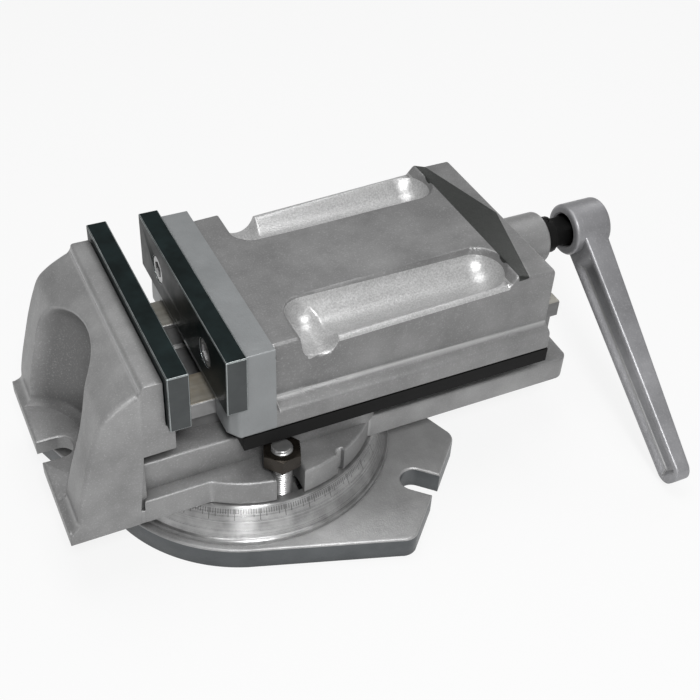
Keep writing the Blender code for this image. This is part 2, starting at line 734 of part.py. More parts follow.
def build_body(turntable):
    body = slab("vise_body", foot_outline(), FLANGE_BOTTOM_Z, FLANGE_TOP_Z)
    cut(
        body,
        block(
            "foot_pad_top",
            (FOOT_END_X - CUT_OVERRUN, -JAW_WIDTH, FOOT_PAD_TOP_Z),
            (FIXED_FRONT_X - EMBED, JAW_WIDTH, FLANGE_TOP_Z + CUT_OVERRUN),
        ),
    )
    bevel(body, CAST_BEVEL)
    flanks = slab("flanks", flank_outline(), FLANGE_TOP_Z - EMBED, FLANK_TOP_Z)
    bevel(flanks, CAST_BEVEL)
    rails = slab("rails", rail_outline(), FIXED_FRONT_X - EMBED / 2, RAIL_REAR_X, "YZ")
    jaw = slab(
        "fixed_jaw",
        fixed_jaw_outline(),
        -FIXED_JAW_HALF_WIDTH,
        FIXED_JAW_HALF_WIDTH,
        "XZ",
    )
    bevel(jaw, FIXED_JAW_BEVEL)
    cut(
        jaw,
        block(
            "fixed_plate_seat",
            (FIXED_WALL_X, -JAW_WIDTH, LEDGE_TOP_Z),
            (FIXED_FACE_X, JAW_WIDTH, FIXED_JAW_TOP_Z - FIXED_JAW_BEVEL),
        ),
    )
    join(body, flanks, rails, jaw)
    cut(body, scoop_cutter())
    for name, mouth_x, inward, depth in (
        ("foot_slot", FOOT_END_X, 1, FOOT_SLOT_DEPTH),
        ("tail_slot", TAIL_END_X, -1, TAIL_SLOT_DEPTH),
    ):
        cut(
            body,
            slot_cutter(
                name,
                mouth_x,
                inward,
                FOOT_SLOT_WIDTH,
                depth,
                FLANGE_BOTTOM_Z - CUT_OVERRUN,
                FLANGE_TOP_Z + CUT_OVERRUN,
            ),
        )
    for side, name in ((-1, "front_stud_slot"), (1, "back_stud_slot")):
        slot = slot_cutter(
            name,
            FLANGE_DISC_RADIUS,
            -1,
            STUD_SLOT_WIDTH,
            FLANGE_DISC_RADIUS - BOLT_CIRCLE_RADIUS + STUD_SLOT_WIDTH / 2,
            FLANGE_BOTTOM_Z - CUT_OVERRUN,
            FLANGE_TOP_Z + CUT_OVERRUN,
        )
        slot.rotation_euler = (0.0, 0.0, side * math.radians(90) + STUD_SLOT_TURN)
        cut(body, slot)
    cut(
        body,
        rod(
            "body_pivot_bore",
            (0.0, 0.0, FLANGE_BOTTOM_Z - CUT_OVERRUN),
            (0.0, 0.0, PIN_TOP_Z + SEAT_GAP),
            PIN_RADIUS + SEAT_GAP,
            32,
        ),
    )
    for side in (-1, 1):
        cut(
            body,
            rod(
                "fixed_plate_hole",
                (FIXED_WALL_X + CUT_OVERRUN / 4, side * PLATE_SCREW_SPREAD, PLATE_SCREW_Z),
                (
                    fixed_screw_end() - SEAT_GAP,
                    side * PLATE_SCREW_SPREAD,
                    PLATE_SCREW_Z,
                ),
                PLATE_SCREW_SHANK_RADIUS + RUNNING_GAP,
                BOLT_STEPS,
            ),
        )
        cut(
            body,
            rod(
                "nut_bolt_hole",
                (nut_bolt_x(side), 0.0, NUT_BOLT_SEAT_Z - CUT_OVERRUN),
                (nut_bolt_x(side), 0.0, CHANNEL_FLOOR_Z + CUT_OVERRUN),
                NUT_BOLT_SHANK_RADIUS + RUNNING_GAP,
                BOLT_STEPS,
            ),
        )
        cut(
            body,
            rod(
                "nut_bolt_well",
                (nut_bolt_x(side), 0.0, FLANGE_BOTTOM_Z - CUT_OVERRUN),
                (nut_bolt_x(side), 0.0, NUT_BOLT_SEAT_Z),
                NUT_BOLT_HEAD_RADIUS + RUNNING_GAP,
                SMALL_STEPS,
            ),
        )
    return keep(body, "cast_iron", turntable)


def fixed_screw_end():
    """Where the fixed plate's screws end inside the casting."""
    seat = FIXED_FACE_X - PLATE_SCREW_HEAD_HEIGHT - RUNNING_GAP
    return seat - PLATE_SCREW_LENGTH


def nut_bolt_x(side):
    return NUT_FRONT_X + NUT_LENGTH / 2 + side * (NUT_LENGTH / 2 - NUT_BOLT_HEAD_RADIUS)


def jaw_plate(name, face_x, into, carrier):
    """A hardened plate with two counterbored screw holes; into is the way its screws go."""
    back_x = face_x + into * PLATE_THICKNESS
    plate = block(
        name,
        (min(face_x, back_x), -JAW_WIDTH / 2, PLATE_BOTTOM_Z),
        (max(face_x, back_x), JAW_WIDTH / 2, JAW_TOP_Z),
    )
    bevel(plate, PLATE_BEVEL)
    seat_x = face_x + into * (PLATE_SCREW_HEAD_HEIGHT + RUNNING_GAP + SEAT_GAP)
    for side in (-1, 1):
        y = side * PLATE_SCREW_SPREAD
        cut(
            plate,
            rod(
                "counterbore",
                (face_x - into * CUT_OVERRUN, y, PLATE_SCREW_Z),
                (seat_x, y, PLATE_SCREW_Z),
                PLATE_SCREW_HEAD_RADIUS + RUNNING_GAP,
            ),
            rod(
                "plate_hole",
                (face_x, y, PLATE_SCREW_Z),
                (back_x + into * CUT_OVERRUN, y, PLATE_SCREW_Z),
                PLATE_SCREW_SHANK_RADIUS + RUNNING_GAP,
                BOLT_STEPS,
            ),
        )
    return keep(plate, "jaw_steel", carrier)


def plate_screw(name, side, face_x, into, carrier):
    """One socket head screw of a jaw plate; into is the way it goes."""
    y = side * PLATE_SCREW_SPREAD
    front_x = face_x + into * RUNNING_GAP
    seat_x = front_x + into * PLATE_SCREW_HEAD_HEIGHT
    head = rod(
        name,
        (front_x, y, PLATE_SCREW_Z),
        (seat_x, y, PLATE_SCREW_Z),
        PLATE_SCREW_HEAD_RADIUS,
    )
    shank = rod(
        "shank",
        (seat_x - into * PLATE_SCREW_SOCKET_DEPTH / 4, y, PLATE_SCREW_Z),
        (seat_x + into * PLATE_SCREW_LENGTH, y, PLATE_SCREW_Z),
        PLATE_SCREW_SHANK_RADIUS,
        BOLT_STEPS,
    )
    socket = rod(
        "socket",
        (front_x - into * CUT_OVERRUN, y, PLATE_SCREW_Z),
        (front_x + into * PLATE_SCREW_SOCKET_DEPTH, y, PLATE_SCREW_Z),
        hex_radius(PLATE_SCREW_SOCKET_FLATS),
        6,
    )
    join(head, shank)
    cut(head, socket)
    return keep(head, "ground_steel", carrier)


def hex_radius(flats):
    return flats / 2 / math.cos(math.radians(30))


def moving_jaw_outline():
    """Moving jaw in side view: a toe under the plate, the strip, the long top, the tail."""
    toe_x = MOVING_FRONT_X - TOE_REACH
    return [
        Vector((toe_x + TOE_SLOPE_LENGTH, JAW_BOTTOM_Z)),
        Vector((toe_x, JAW_BOTTOM_Z + TOE_SLOPE_HEIGHT)),
        Vector((toe_x, LEDGE_TOP_Z - TOE_SLOPE_HEIGHT)),
        Vector((toe_x + TOE_SLOPE_LENGTH, LEDGE_TOP_Z)),
        Vector((MOVING_FRONT_X, LEDGE_TOP_Z)),
        Vector((MOVING_FRONT_X, STRIP_TOP_Z)),
        Vector((STRIP_REAR_X, STRIP_TOP_Z)),
        Vector((STRIP_REAR_X, DECK_FRONT_Z)),
        Vector((PLATEAU_END_X, PLATEAU_END_Z)),
        Vector((JAW_TAIL_X, PLATEAU_END_Z)),
        Vector((JAW_TAIL_X, JAW_BOTTOM_Z)),
    ]


def hull_of(name, points):
    """A solid whose faces are the tightest wrap round the given points."""
    bm = bmesh.new()
    for point in points:
        bm.verts.new(point)
    made = bmesh.ops.convex_hull(bm, input=bm.verts)
    loose = {v for v in made["geom_unused"] + made["geom_interior"]}
    bmesh.ops.delete(bm, geom=list(loose), context="VERTS")
    bmesh.ops.recalc_face_normals(bm, faces=bm.faces)
    return object_from(bm, name, (0.0, 0.0, 0.0))


def side_cutters(side):
    """What is carved off one side: its draft, and the sunk panel above the rim."""
    fall = RIM_SLOPE_HEIGHT / (RIM_HALF_WIDTH - PANEL_REAR_HALF_WIDTH)
    far_y = RIM_HALF_WIDTH + CUT_OVERRUN
    high_z = JAW_TOP_Z + CUT_OVERRUN
    points = []
    for x, panel_y in (
        (STRIP_REAR_X, PANEL_FRONT_HALF_WIDTH),
        (JAW_TAIL_X + CUT_OVERRUN, PANEL_REAR_HALF_WIDTH),
    ):
        points += [
            (x, side * panel_y, high_z),
            (x, side * panel_y, RIM_TOP_Z + fall * (RIM_HALF_WIDTH - panel_y)),
            (x, side * far_y, RIM_TOP_Z - fall * (far_y - RIM_HALF_WIDTH)),
            (x, side * far_y, high_z),
        ]
    lean = (RIM_HALF_WIDTH - STRIP_HALF_WIDTH) / (STRIP_TOP_Z - DRAFT_START_Z)
    draft = []
    for x in (
        MOVING_FRONT_X - TOE_REACH - CUT_OVERRUN,
        JAW_TAIL_X + BOSS_FILLET + CUT_OVERRUN,
    ):
        draft += [
            (x, side * RIM_HALF_WIDTH, DRAFT_START_Z),
            (x, side * (STRIP_HALF_WIDTH - lean * (high_z - STRIP_TOP_Z)), high_z),
            (x, side * far_y, high_z),
            (x, side * far_y, DRAFT_START_Z),
        ]
    return [hull_of("side_draft", draft), hull_of("side_panel", points)]


def toe_corner_cutter(side):
    """The chamfer, in plan, at one front corner of the toe."""
    front_x = MOVING_FRONT_X - TOE_REACH
    outer_y = side * (RIM_HALF_WIDTH + CUT_OVERRUN)
    outline = [
        Vector((front_x - CUT_OVERRUN, side * (RIM_HALF_WIDTH - TOE_CORNER_WIDTH))),
        Vector((front_x, side * (RIM_HALF_WIDTH - TOE_CORNER_WIDTH))),
        Vector((front_x + TOE_SLOPE_LENGTH, side * RIM_HALF_WIDTH)),
        Vector((front_x + TOE_SLOPE_LENGTH, outer_y)),
        Vector((front_x - CUT_OVERRUN, outer_y)),
    ]
    return slab(
        "toe_corner",
        outline,
        JAW_BOTTOM_Z - CUT_OVERRUN,
        LEDGE_TOP_Z + CUT_OVERRUN,
    )


def tail_cutter():
    """What is carved off above the tail: it leaves the dark facet that runs to a point."""
    far_y = JAW_WIDTH / 2
    low = TAIL_DECK_Z
    buried = low - CUT_OVERRUN
    tip_x = JAW_TAIL_X - SEAT_GAP
    side_x = PLATEAU_END_X + RAMP_SIDE_LENGTH
    points = [(tip_x, 0.0, low), (tip_x, 0.0, buried)]
    for y in (-far_y, far_y):
        points += [
            (PLATEAU_END_X, y, PLATEAU_END_Z),
            (side_x, y, low),
            (side_x, y, buried),
            (PLATEAU_END_X - CUT_OVERRUN, y, buried),
            (PLATEAU_END_X - CUT_OVERRUN, y, PLATEAU_END_Z),
        ]
    away = block(
        "tail_deck",
        (PLATEAU_END_X, -far_y + SEAT_GAP, low),
        (JAW_TAIL_X + CUT_OVERRUN, far_y - SEAT_GAP, JAW_TOP_Z + CUT_OVERRUN),
    )
    cut(away, hull_of("tail_ramp", points))
    return away


def capsule(name, low, high, radius, place, along_x):
    """A bar with ball ends, turned from one profile, along Z or along X."""
    steps = 5
    profile = []
    for centre, start in ((high, 0), (low, 90)):
        for step in range(steps + 1):
            turn = math.radians(start + 90 * step / steps)
            profile.append((radius * math.sin(turn), centre + radius * math.cos(turn)))
    profile[-1] = (0.0, profile[-1][1])
    return turned(name, profile, place, False, SMALL_STEPS, along_x)


def trough_cutters(side):
    """One trough in the jaw's top: a round-bottomed channel, its low rim and its outlet."""
    y = side * TROUGH_SPREAD
    outer = side * (RIM_HALF_WIDTH + CUT_OVERRUN)
    high_z = JAW_TOP_Z + CUT_OVERRUN
    rim = slab(
        "trough_rim",
        [
            Vector((NOTCH_X, TROUGH_RIM_FRONT_Z)),
            Vector((TROUGH_RIM_REAR_X, TROUGH_RIM_REAR_Z)),
            Vector((TROUGH_RIM_REAR_X + TROUGH_RIM_UPTURN, high_z)),
            Vector((NOTCH_X, high_z)),
        ],
        min(y, outer),
        max(y, outer),
        "XZ",
    )
    trough = capsule(
        "trough",
        TROUGH_FRONT_X,
        TROUGH_REAR_X,
        TROUGH_RADIUS,
        (0.0, y, TROUGH_CENTRE_Z),
        True,
    )
    outlet = capsule(
        "outlet",
        -(RIM_HALF_WIDTH + 2 * NOTCH_RADIUS),
        NOTCH_OVERLAP - TROUGH_SPREAD,
        NOTCH_RADIUS,
        (NOTCH_X, 0.0, NOTCH_CENTRE_Z),
        False,
    )
    outlet.rotation_euler = (side * math.radians(90), 0.0, 0.0)
    return [trough, rim, outlet]


def boss_profile():
    """Screw boss behind the jaw: a fillet at its root, a straight barrel, a broken edge."""
    root_x = JAW_TAIL_X - EMBED
    profile = [
        (0.0, BOSS_END_X),
        (BOSS_RADIUS - BOSS_EDGE, BOSS_END_X),
        (BOSS_RADIUS, BOSS_END_X - BOSS_EDGE),
    ]
    steps = 4
    for step in range(steps + 1):
        turn = math.radians(90) * step / steps
        profile.append(
            (
                BOSS_RADIUS + BOSS_FILLET * (1 - math.cos(turn)),
                JAW_TAIL_X - SEAT_GAP + BOSS_FILLET * (1 - math.sin(turn)),
            )
        )
    profile += [(BOSS_RADIUS + BOSS_FILLET, root_x), (0.0, root_x)]
    return profile


def build_moving_jaw(slide):
    jaw = slab(
        "moving_jaw", moving_jaw_outline(), -RIM_HALF_WIDTH, RIM_HALF_WIDTH, "XZ"
    )
    bevel(jaw, PLATE_BEVEL)
    way_half = RAIL_HALF_WIDTH + SEAT_GAP
    rail_way = block(
        "rail_way",
        (MOVING_FRONT_X - TOE_REACH - CUT_OVERRUN, -way_half, JAW_BOTTOM_Z - CUT_OVERRUN),
        (JAW_TAIL_X + CUT_OVERRUN, way_half, RAIL_TOP_Z + SEAT_GAP),
    )
    cut(jaw, tail_cutter(), rail_way)
    join(jaw, turned("boss", boss_profile(), (0.0, 0.0, SCREW_Z), False, 32, True))
    cut(
        jaw,
        block(
            "cavity",
            (CAVITY_FRONT_X, -CAVITY_HALF_WIDTH, RAIL_TOP_Z - CUT_OVERRUN),
            (CAVITY_REAR_X, CAVITY_HALF_WIDTH, CAVITY_TOP_Z),
        ),
        rod(
            "journal_bore",
            (CAVITY_REAR_X - CUT_OVERRUN, 0.0, SCREW_Z),
            (BOSS_END_X + CUT_OVERRUN, 0.0, SCREW_Z),
            JOURNAL_RADIUS + RUNNING_GAP,
        ),
    )
    for side in (-1, 1):
        cut(jaw, *side_cutters(side))
        cut(jaw, toe_corner_cutter(side))
        cut(jaw, *trough_cutters(side))
        cut(
            jaw,
            rod(
                "moving_plate_hole",
                (MOVING_FRONT_X - CUT_OVERRUN / 4, side * PLATE_SCREW_SPREAD, PLATE_SCREW_Z),
                (moving_screw_end(), side * PLATE_SCREW_SPREAD, PLATE_SCREW_Z),
                PLATE_SCREW_SHANK_RADIUS + RUNNING_GAP,
                BOLT_STEPS,
            ),
        )
        for x in keeper_screw_places():
            cut(
                jaw,
                rod(
                    "keeper_hole",
                    (x, side * KEEPER_SCREW_Y, JAW_BOTTOM_Z - CUT_OVERRUN),
                    (x, side * KEEPER_SCREW_Y, keeper_screw_top() + SEAT_GAP),
                    KEEPER_SCREW_SHANK_RADIUS + RUNNING_GAP,
                    8,
                ),
            )
    return keep(jaw, "cast_iron", slide)


def moving_screw_end():
    return MOVING_FACE_X + PLATE_SCREW_HEAD_HEIGHT + 2 * RUNNING_GAP + PLATE_SCREW_LENGTH


def keeper_screw_places():
    first = KEEPER_FRONT_X + KEEPER_SCREW_INSET
    last = JAW_TAIL_X - KEEPER_SCREW_INSET
    gap = (last - first) / (KEEPER_SCREW_COUNT - 1)
    return [first + gap * index for index in range(KEEPER_SCREW_COUNT)]


def keeper_screw_seat():
    """Height of the counterbore floor that the keeper screws' heads press on."""
    bottom = KEEPER_TOP_Z - KEEPER_THICKNESS
    return bottom + KEEPER_SCREW_HEAD_HEIGHT + RUNNING_GAP


def keeper_screw_top():
    return keeper_screw_seat() + KEEPER_SCREW_LENGTH


def build_keeper(side, name, slide):
    inner = side * KEEPER_INNER_Y
    outer = side * RIM_HALF_WIDTH
    plate = block(
        name,
        (KEEPER_FRONT_X, min(inner, outer), KEEPER_TOP_Z - KEEPER_THICKNESS),
        (JAW_TAIL_X, max(inner, outer), KEEPER_TOP_Z),
    )
    for x in keeper_screw_places():
        y = side * KEEPER_SCREW_Y
        seat = keeper_screw_seat() + SEAT_GAP
        cut(
            plate,
            rod(
                "keeper_counterbore",
                (x, y, KEEPER_TOP_Z - KEEPER_THICKNESS - CUT_OVERRUN),
                (x, y, seat),
                KEEPER_SCREW_HEAD_RADIUS + RUNNING_GAP,
                BOLT_STEPS,
            ),
            rod(
                "keeper_through",
                (x, y, KEEPER_TOP_Z - KEEPER_THICKNESS),
                (x, y, KEEPER_TOP_Z + CUT_OVERRUN),
                KEEPER_SCREW_SHANK_RADIUS + RUNNING_GAP,
                8,
            ),
        )
    return keep(plate, "black_steel", slide)


def build_keeper_screw(side, x, name, slide):
    """One of the cap screws that hold a keeper plate up to the jaw."""
    y = side * KEEPER_SCREW_Y
    seat = keeper_screw_seat()
    head = rod(
        name,
        (x, y, seat - KEEPER_SCREW_HEAD_HEIGHT),
        (x, y, seat),
        KEEPER_SCREW_HEAD_RADIUS,
        BOLT_STEPS,
    )
    shank = rod(
        "keeper_shank",
        (x, y, seat - KEEPER_SCREW_HEAD_HEIGHT / 2),
        (x, y, keeper_screw_top()),
        KEEPER_SCREW_SHANK_RADIUS,
        8,
    )
    join(head, shank)
    return keep(head, "ground_steel", slide)


def build_lead_screw(spindle):
    """Lead screw: threaded length, thrust shoulder, journal and square drive end."""
    drive_x = COLLAR_FRONT_X + COLLAR_LENGTH + SEAT_GAP
    profile = [
        (0.0, drive_x + EMBED),
        (JOURNAL_RADIUS, drive_x + EMBED),
        (JOURNAL_RADIUS, SHOULDER_REAR_X),
        (SHOULDER_RADIUS, SHOULDER_REAR_X),
        (SHOULDER_RADIUS, SHOULDER_REAR_X - SHOULDER_LENGTH),
        (SCREW_RADIUS, SHOULDER_REAR_X - SHOULDER_LENGTH),
        (SCREW_RADIUS, SCREW_FRONT_X + SCREW_CHAMFER),
        (SCREW_RADIUS - SCREW_CHAMFER, SCREW_FRONT_X),
        (0.0, SCREW_FRONT_X),
    ]
    screw = turned(
        "lead_screw", profile, (0.0, 0.0, SCREW_Z), False, SMALL_STEPS, True
    )
    square = block(
        "square_drive",
        (drive_x, -DRIVE_FLATS / 2, SCREW_Z - DRIVE_FLATS / 2),
        (DRIVE_END_X, DRIVE_FLATS / 2, SCREW_Z + DRIVE_FLATS / 2),
    )
    bevel(square, SCREW_CHAMFER)
    join(screw, square)
    return keep(screw, "black_steel", spindle)


def ring(name, front_x, rear_x, inner, outer, finish, carrier, steps=SMALL_STEPS):
    profile = [
        (outer, rear_x),
        (outer, front_x),
        (inner, front_x),
        (inner, rear_x),
    ]
    made = turned(name, profile, (0.0, 0.0, SCREW_Z), True, steps, True)
    return keep(made, finish, carrier)


def build_screw_fittings(spindle):
    ring(
        "thrust_washer",
        THRUST_RING_REAR_X - THRUST_RING_THICKNESS,
        THRUST_RING_REAR_X,
        JOURNAL_RADIUS + RUNNING_GAP,
        SHOULDER_RADIUS,
        "bronze",
        spindle,
    )
    collar = turned(
        "retaining_collar",
        [
            (COLLAR_RADIUS, COLLAR_FRONT_X + COLLAR_LENGTH),
            (COLLAR_RADIUS, COLLAR_FRONT_X),
            (JOURNAL_RADIUS + RUNNING_GAP, COLLAR_FRONT_X),
            (JOURNAL_RADIUS + RUNNING_GAP, COLLAR_FRONT_X + COLLAR_LENGTH),
        ],
        (0.0, 0.0, SCREW_Z),
        True,
        SMALL_STEPS,
        True,
    )
    middle = COLLAR_FRONT_X + COLLAR_LENGTH / 2
    cut(
        collar,
        rod(
            "collar_screw_hole",
            (middle, 0.0, SCREW_Z + JOURNAL_RADIUS / 2),
            (middle, 0.0, SCREW_Z + COLLAR_RADIUS + CUT_OVERRUN),
            COLLAR_SCREW_RADIUS + SEAT_GAP,
            8,
        ),
    )
    keep(collar, "black_steel", spindle)
    grub = rod(
        "collar_set_screw",
        (middle, 0.0, SCREW_Z + JOURNAL_RADIUS + SEAT_GAP),
        (middle, 0.0, SCREW_Z + COLLAR_RADIUS - SEAT_GAP),
        COLLAR_SCREW_RADIUS,
        8,
    )
    keep(grub, "ground_steel", spindle)


def build_screw_nut(turntable):
    nut = block(
        "screw_nut",
        (NUT_FRONT_X, -NUT_HALF_WIDTH, CHANNEL_FLOOR_Z + SEAT_GAP),
        (NUT_FRONT_X + NUT_LENGTH, NUT_HALF_WIDTH, NUT_TOP_Z),
    )
    bevel(nut, SCREW_CHAMFER)
    cut(
        nut,
        rod(
            "nut_bore",
            (NUT_FRONT_X - CUT_OVERRUN, 0.0, SCREW_Z),
            (NUT_FRONT_X + NUT_LENGTH + CUT_OVERRUN, 0.0, SCREW_Z),
            SCREW_RADIUS + RUNNING_GAP,
            SMALL_STEPS,
        ),
    )
    top = CHANNEL_FLOOR_Z + NUT_BOLT_GRIP
    for side in (-1, 1):
        x = nut_bolt_x(side)
        cut(
            nut,
            rod(
                "nut_tapped_hole",
                (x, 0.0, CHANNEL_FLOOR_Z - CUT_OVERRUN),
                (x, 0.0, top + SEAT_GAP),
                NUT_BOLT_SHANK_RADIUS + RUNNING_GAP,
                BOLT_STEPS,
            ),
        )
    return keep(nut, "bronze", turntable)


def build_nut_bolt(side, name, turntable):
    """One hexagon bolt that holds the screw's nut, sunk in the body's underside."""
    x = nut_bolt_x(side)
    seat = NUT_BOLT_SEAT_Z - SEAT_GAP
    head = rod(
        name,
        (x, 0.0, seat - NUT_BOLT_HEAD_HEIGHT),
        (x, 0.0, seat),
        NUT_BOLT_HEAD_RADIUS,
        6,
    )
    shank = rod(
        "nut_bolt_shank",
        (x, 0.0, seat - NUT_BOLT_HEAD_HEIGHT / 2),
        (x, 0.0, CHANNEL_FLOOR_Z + NUT_BOLT_GRIP),
        NUT_BOLT_SHANK_RADIUS,
        BOLT_STEPS,
    )
    join(head, shank)
    return keep(head, "dark_steel", turntable)


def bolt_place(side):
    """Where a T-bolt stands: a little to one side in its wide slot, on the bolt circle."""
    turn = side * math.radians(90) + BOLT_TURN
    return BOLT_CIRCLE_RADIUS * math.cos(turn), BOLT_CIRCLE_RADIUS * math.sin(turn)


def build_t_bolt(side, name, turntable):
    """A T-bolt: its flat head slides in the base's groove, and its stud stands up."""
    x, y = bolt_place(side)
    top = RING_TOP_Z - GROOVE_LIP_HEIGHT - SEAT_GAP
    head = block(
        name,
        (x - T_HEAD_LENGTH / 2, y - T_HEAD_WIDTH / 2, top - T_HEAD_HEIGHT),
        (x + T_HEAD_LENGTH / 2, y + T_HEAD_WIDTH / 2, top),
    )
    head.rotation_euler = (0.0, 0.0, BOLT_TURN)
    stud = rod(
        "stud",
        (x, y, top - T_HEAD_HEIGHT / 2),
        (x, y, STUD_TOP_Z),
        STUD_RADIUS,
        SMALL_STEPS,
    )
    bevel(stud, NUT_CHAMFER)
    join(head, stud)
    return keep(head, "ground_steel", turntable)


def build_swivel_nut(side, name, carrier):
    """A hexagon nut with chamfered corners, run down its stud to near the flange."""
    x, y = bolt_place(side)
    low = FLANGE_TOP_Z + SWIVEL_NUT_LIFT
    high = low + SWIVEL_NUT_HEIGHT
    nut = rod(
        name,
        (x, y, low),
        (x, y, high),
        hex_radius(SWIVEL_NUT_FLATS),
        6,
        None,
        SWIVEL_NUT_TURN,
    )
    reach = hex_radius(SWIVEL_NUT_FLATS) + SEAT_GAP
    crown = SWIVEL_NUT_FLATS / 2 - SEAT_GAP
    spread = (reach - crown) / NUT_CHAMFER
    cone = turned(
        "nut_chamfer",
        [
            (0.0, high + NUT_CHAMFER),
            (crown - spread * NUT_CHAMFER, high + NUT_CHAMFER),
            (reach + SEAT_GAP, high - NUT_CHAMFER),
            (reach + SEAT_GAP, low - NUT_CHAMFER),
            (0.0, low - NUT_CHAMFER),
        ],
        (x, y, 0.0),
        False,
        SMALL_STEPS,
    )
    hole = rod(
        "nut_hole",
        (x, y, low - CUT_OVERRUN),
        (x, y, high + CUT_OVERRUN),
        STUD_RADIUS + RUNNING_GAP,
    )
    combine(nut, cone, "INTERSECT")
    cut(nut, hole)
    return keep(nut, "dark_steel", carrier)


def lever_outline():
    """Lever seen along the screw, laid out along +X from the hub: it widens to its tip."""
    return fillet(
        [
            (0.0, -LEVER_ROOT_HALF_WIDTH, 0.0),
            (LEVER_LENGTH, -LEVER_TIP_HALF_WIDTH, LEVER_CORNER_RADIUS),
            (LEVER_LENGTH, LEVER_TIP_HALF_WIDTH, LEVER_CORNER_RADIUS),
            (0.0, LEVER_ROOT_HALF_WIDTH, 0.0),
        ],
        5,
    )


def flute_outline():
    """The recess in each face of the lever, inside an even rim."""
    root = LEVER_ROOT_HALF_WIDTH - FLUTE_RIM
    tip = LEVER_TIP_HALF_WIDTH - FLUTE_RIM
    end = LEVER_LENGTH - FLUTE_END_INSET
    return fillet(
        [
            (FLUTE_START, -root, FLUTE_CORNER_RADIUS),
            (end, -tip, FLUTE_CORNER_RADIUS),
            (end, tip, FLUTE_CORNER_RADIUS),
            (FLUTE_START, root, FLUTE_CORNER_RADIUS),
        ],
        4,
    )


def lever_piece(name, outline, low_x, high_x):
    """Lay a lever outline into the plane across the screw, hanging at the rest angle."""
    made = slab(name, outline, 0.0, high_x - low_x)
    made.location = (low_x, 0.0, SCREW_Z)
    middle = (high_x - low_x) / 2
    for vertex in made.data.vertices:
        along, across, out = vertex.co.x, vertex.co.y, vertex.co.z + middle
        vertex.co.x = out
        vertex.co.y = -along * math.cos(LEVER_ANGLE) + across * math.sin(LEVER_ANGLE)
        vertex.co.z = -along * math.sin(LEVER_ANGLE) - across * math.cos(LEVER_ANGLE)
    return made


def build_crank(carrier):
    low = LEVER_MID_X - LEVER_THICKNESS / 2
    high = LEVER_MID_X + LEVER_THICKNESS / 2
    crank = lever_piece("crank_handle", lever_outline(), low, high)
    bevel(crank, LEVER_BEVEL)
    flute = flute_outline()
    inner_flute = lever_piece("inner_flute", flute, low - CUT_OVERRUN, low + FLUTE_DEPTH)
    outer_flute = lever_piece(
        "outer_flute", flute, high - FLUTE_DEPTH, high + CUT_OVERRUN
    )
    cut(crank, inner_flute, outer_flute)
    hub_rear = HUB_FRONT_X + HUB_LENGTH
    hub = turned(
        "hub",
        [
            (0.0, hub_rear),
            (HUB_RADIUS - HUB_EDGE, hub_rear),
            (HUB_RADIUS, hub_rear - HUB_EDGE),
            (HUB_RADIUS, HUB_FRONT_X + HUB_EDGE),
            (HUB_RADIUS - HUB_EDGE, HUB_FRONT_X),
            (0.0, HUB_FRONT_X),
        ],
        (0.0, 0.0, SCREW_Z),
        False,
        32,
        True,
    )
    half = DRIVE_FLATS / 2 + RUNNING_GAP
    square_hole = block(
        "square_hole",
        (HUB_FRONT_X - CUT_OVERRUN, -half, SCREW_Z - half),
        (hub_rear - HUB_CAP, half, SCREW_Z + half),
    )
    join(crank, hub)
    cut(crank, square_hole)
    return keep(crank, "chrome", carrier)


def build_vise():
    origin = axis_empty("bench_axis", (0.0, 0.0, 0.0))
    turntable = axis_empty("swivel_axis", (0.0, 0.0, RING_TOP_Z), origin)
    slide = axis_empty("jaw_slide", (MOVING_FRONT_X, 0.0, RAIL_TOP_Z), turntable)
    spindle = axis_empty("screw_axis", (COLLAR_FRONT_X, 0.0, SCREW_Z), slide)
    crank_axis = axis_empty("crank_axis", (HUB_FRONT_X, 0.0, SCREW_Z), spindle)

    build_swivel_base(origin)
    build_pivot_pin(origin)
    build_body(turntable)
    jaw_plate("fixed_jaw_plate", FIXED_FACE_X, -1, turntable)
    build_screw_nut(turntable)
    build_nut_bolt(-1, "nut_bolt_near_jaw", turntable)
    build_nut_bolt(1, "nut_bolt_near_tail", turntable)
    build_moving_jaw(slide)
    jaw_plate("moving_jaw_plate", MOVING_FACE_X, 1, slide)
    build_lead_screw(spindle)
    build_screw_fittings(spindle)
    build_crank(crank_axis)
    for side, place in ((-1, "front"), (1, "back")):
        plate_screw("fixed_plate_screw_" + place, side, FIXED_FACE_X, -1, turntable)
        plate_screw("moving_plate_screw_" + place, side, MOVING_FACE_X, 1, slide)
        build_keeper(side, "keeper_plate_" + place, slide)
        for number, x in enumerate(keeper_screw_places(), 1):
            build_keeper_screw(side, x, "keeper_screw_%s_%d" % (place, number), slide)
        build_t_bolt(side, "t_bolt_" + place, turntable)
        nut_axis = axis_empty(
            "nut_axis_" + place,
            (*bolt_place(side), FLANGE_TOP_Z + SWIVEL_NUT_LIFT),
            turntable,
        )
        build_swivel_nut(side, "swivel_nut_" + place, nut_axis)


build_vise()
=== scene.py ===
"""Looks for a swivel machine vise.

Two rounded grey castings stand on a turned and graduated swivel base. They carry dark
jaw plates, black keepers, ground rails, threaded bolts and a bright fluted crank.
"""

import json
import math

import bpy
import numpy as np
from mathutils import Matrix, Vector

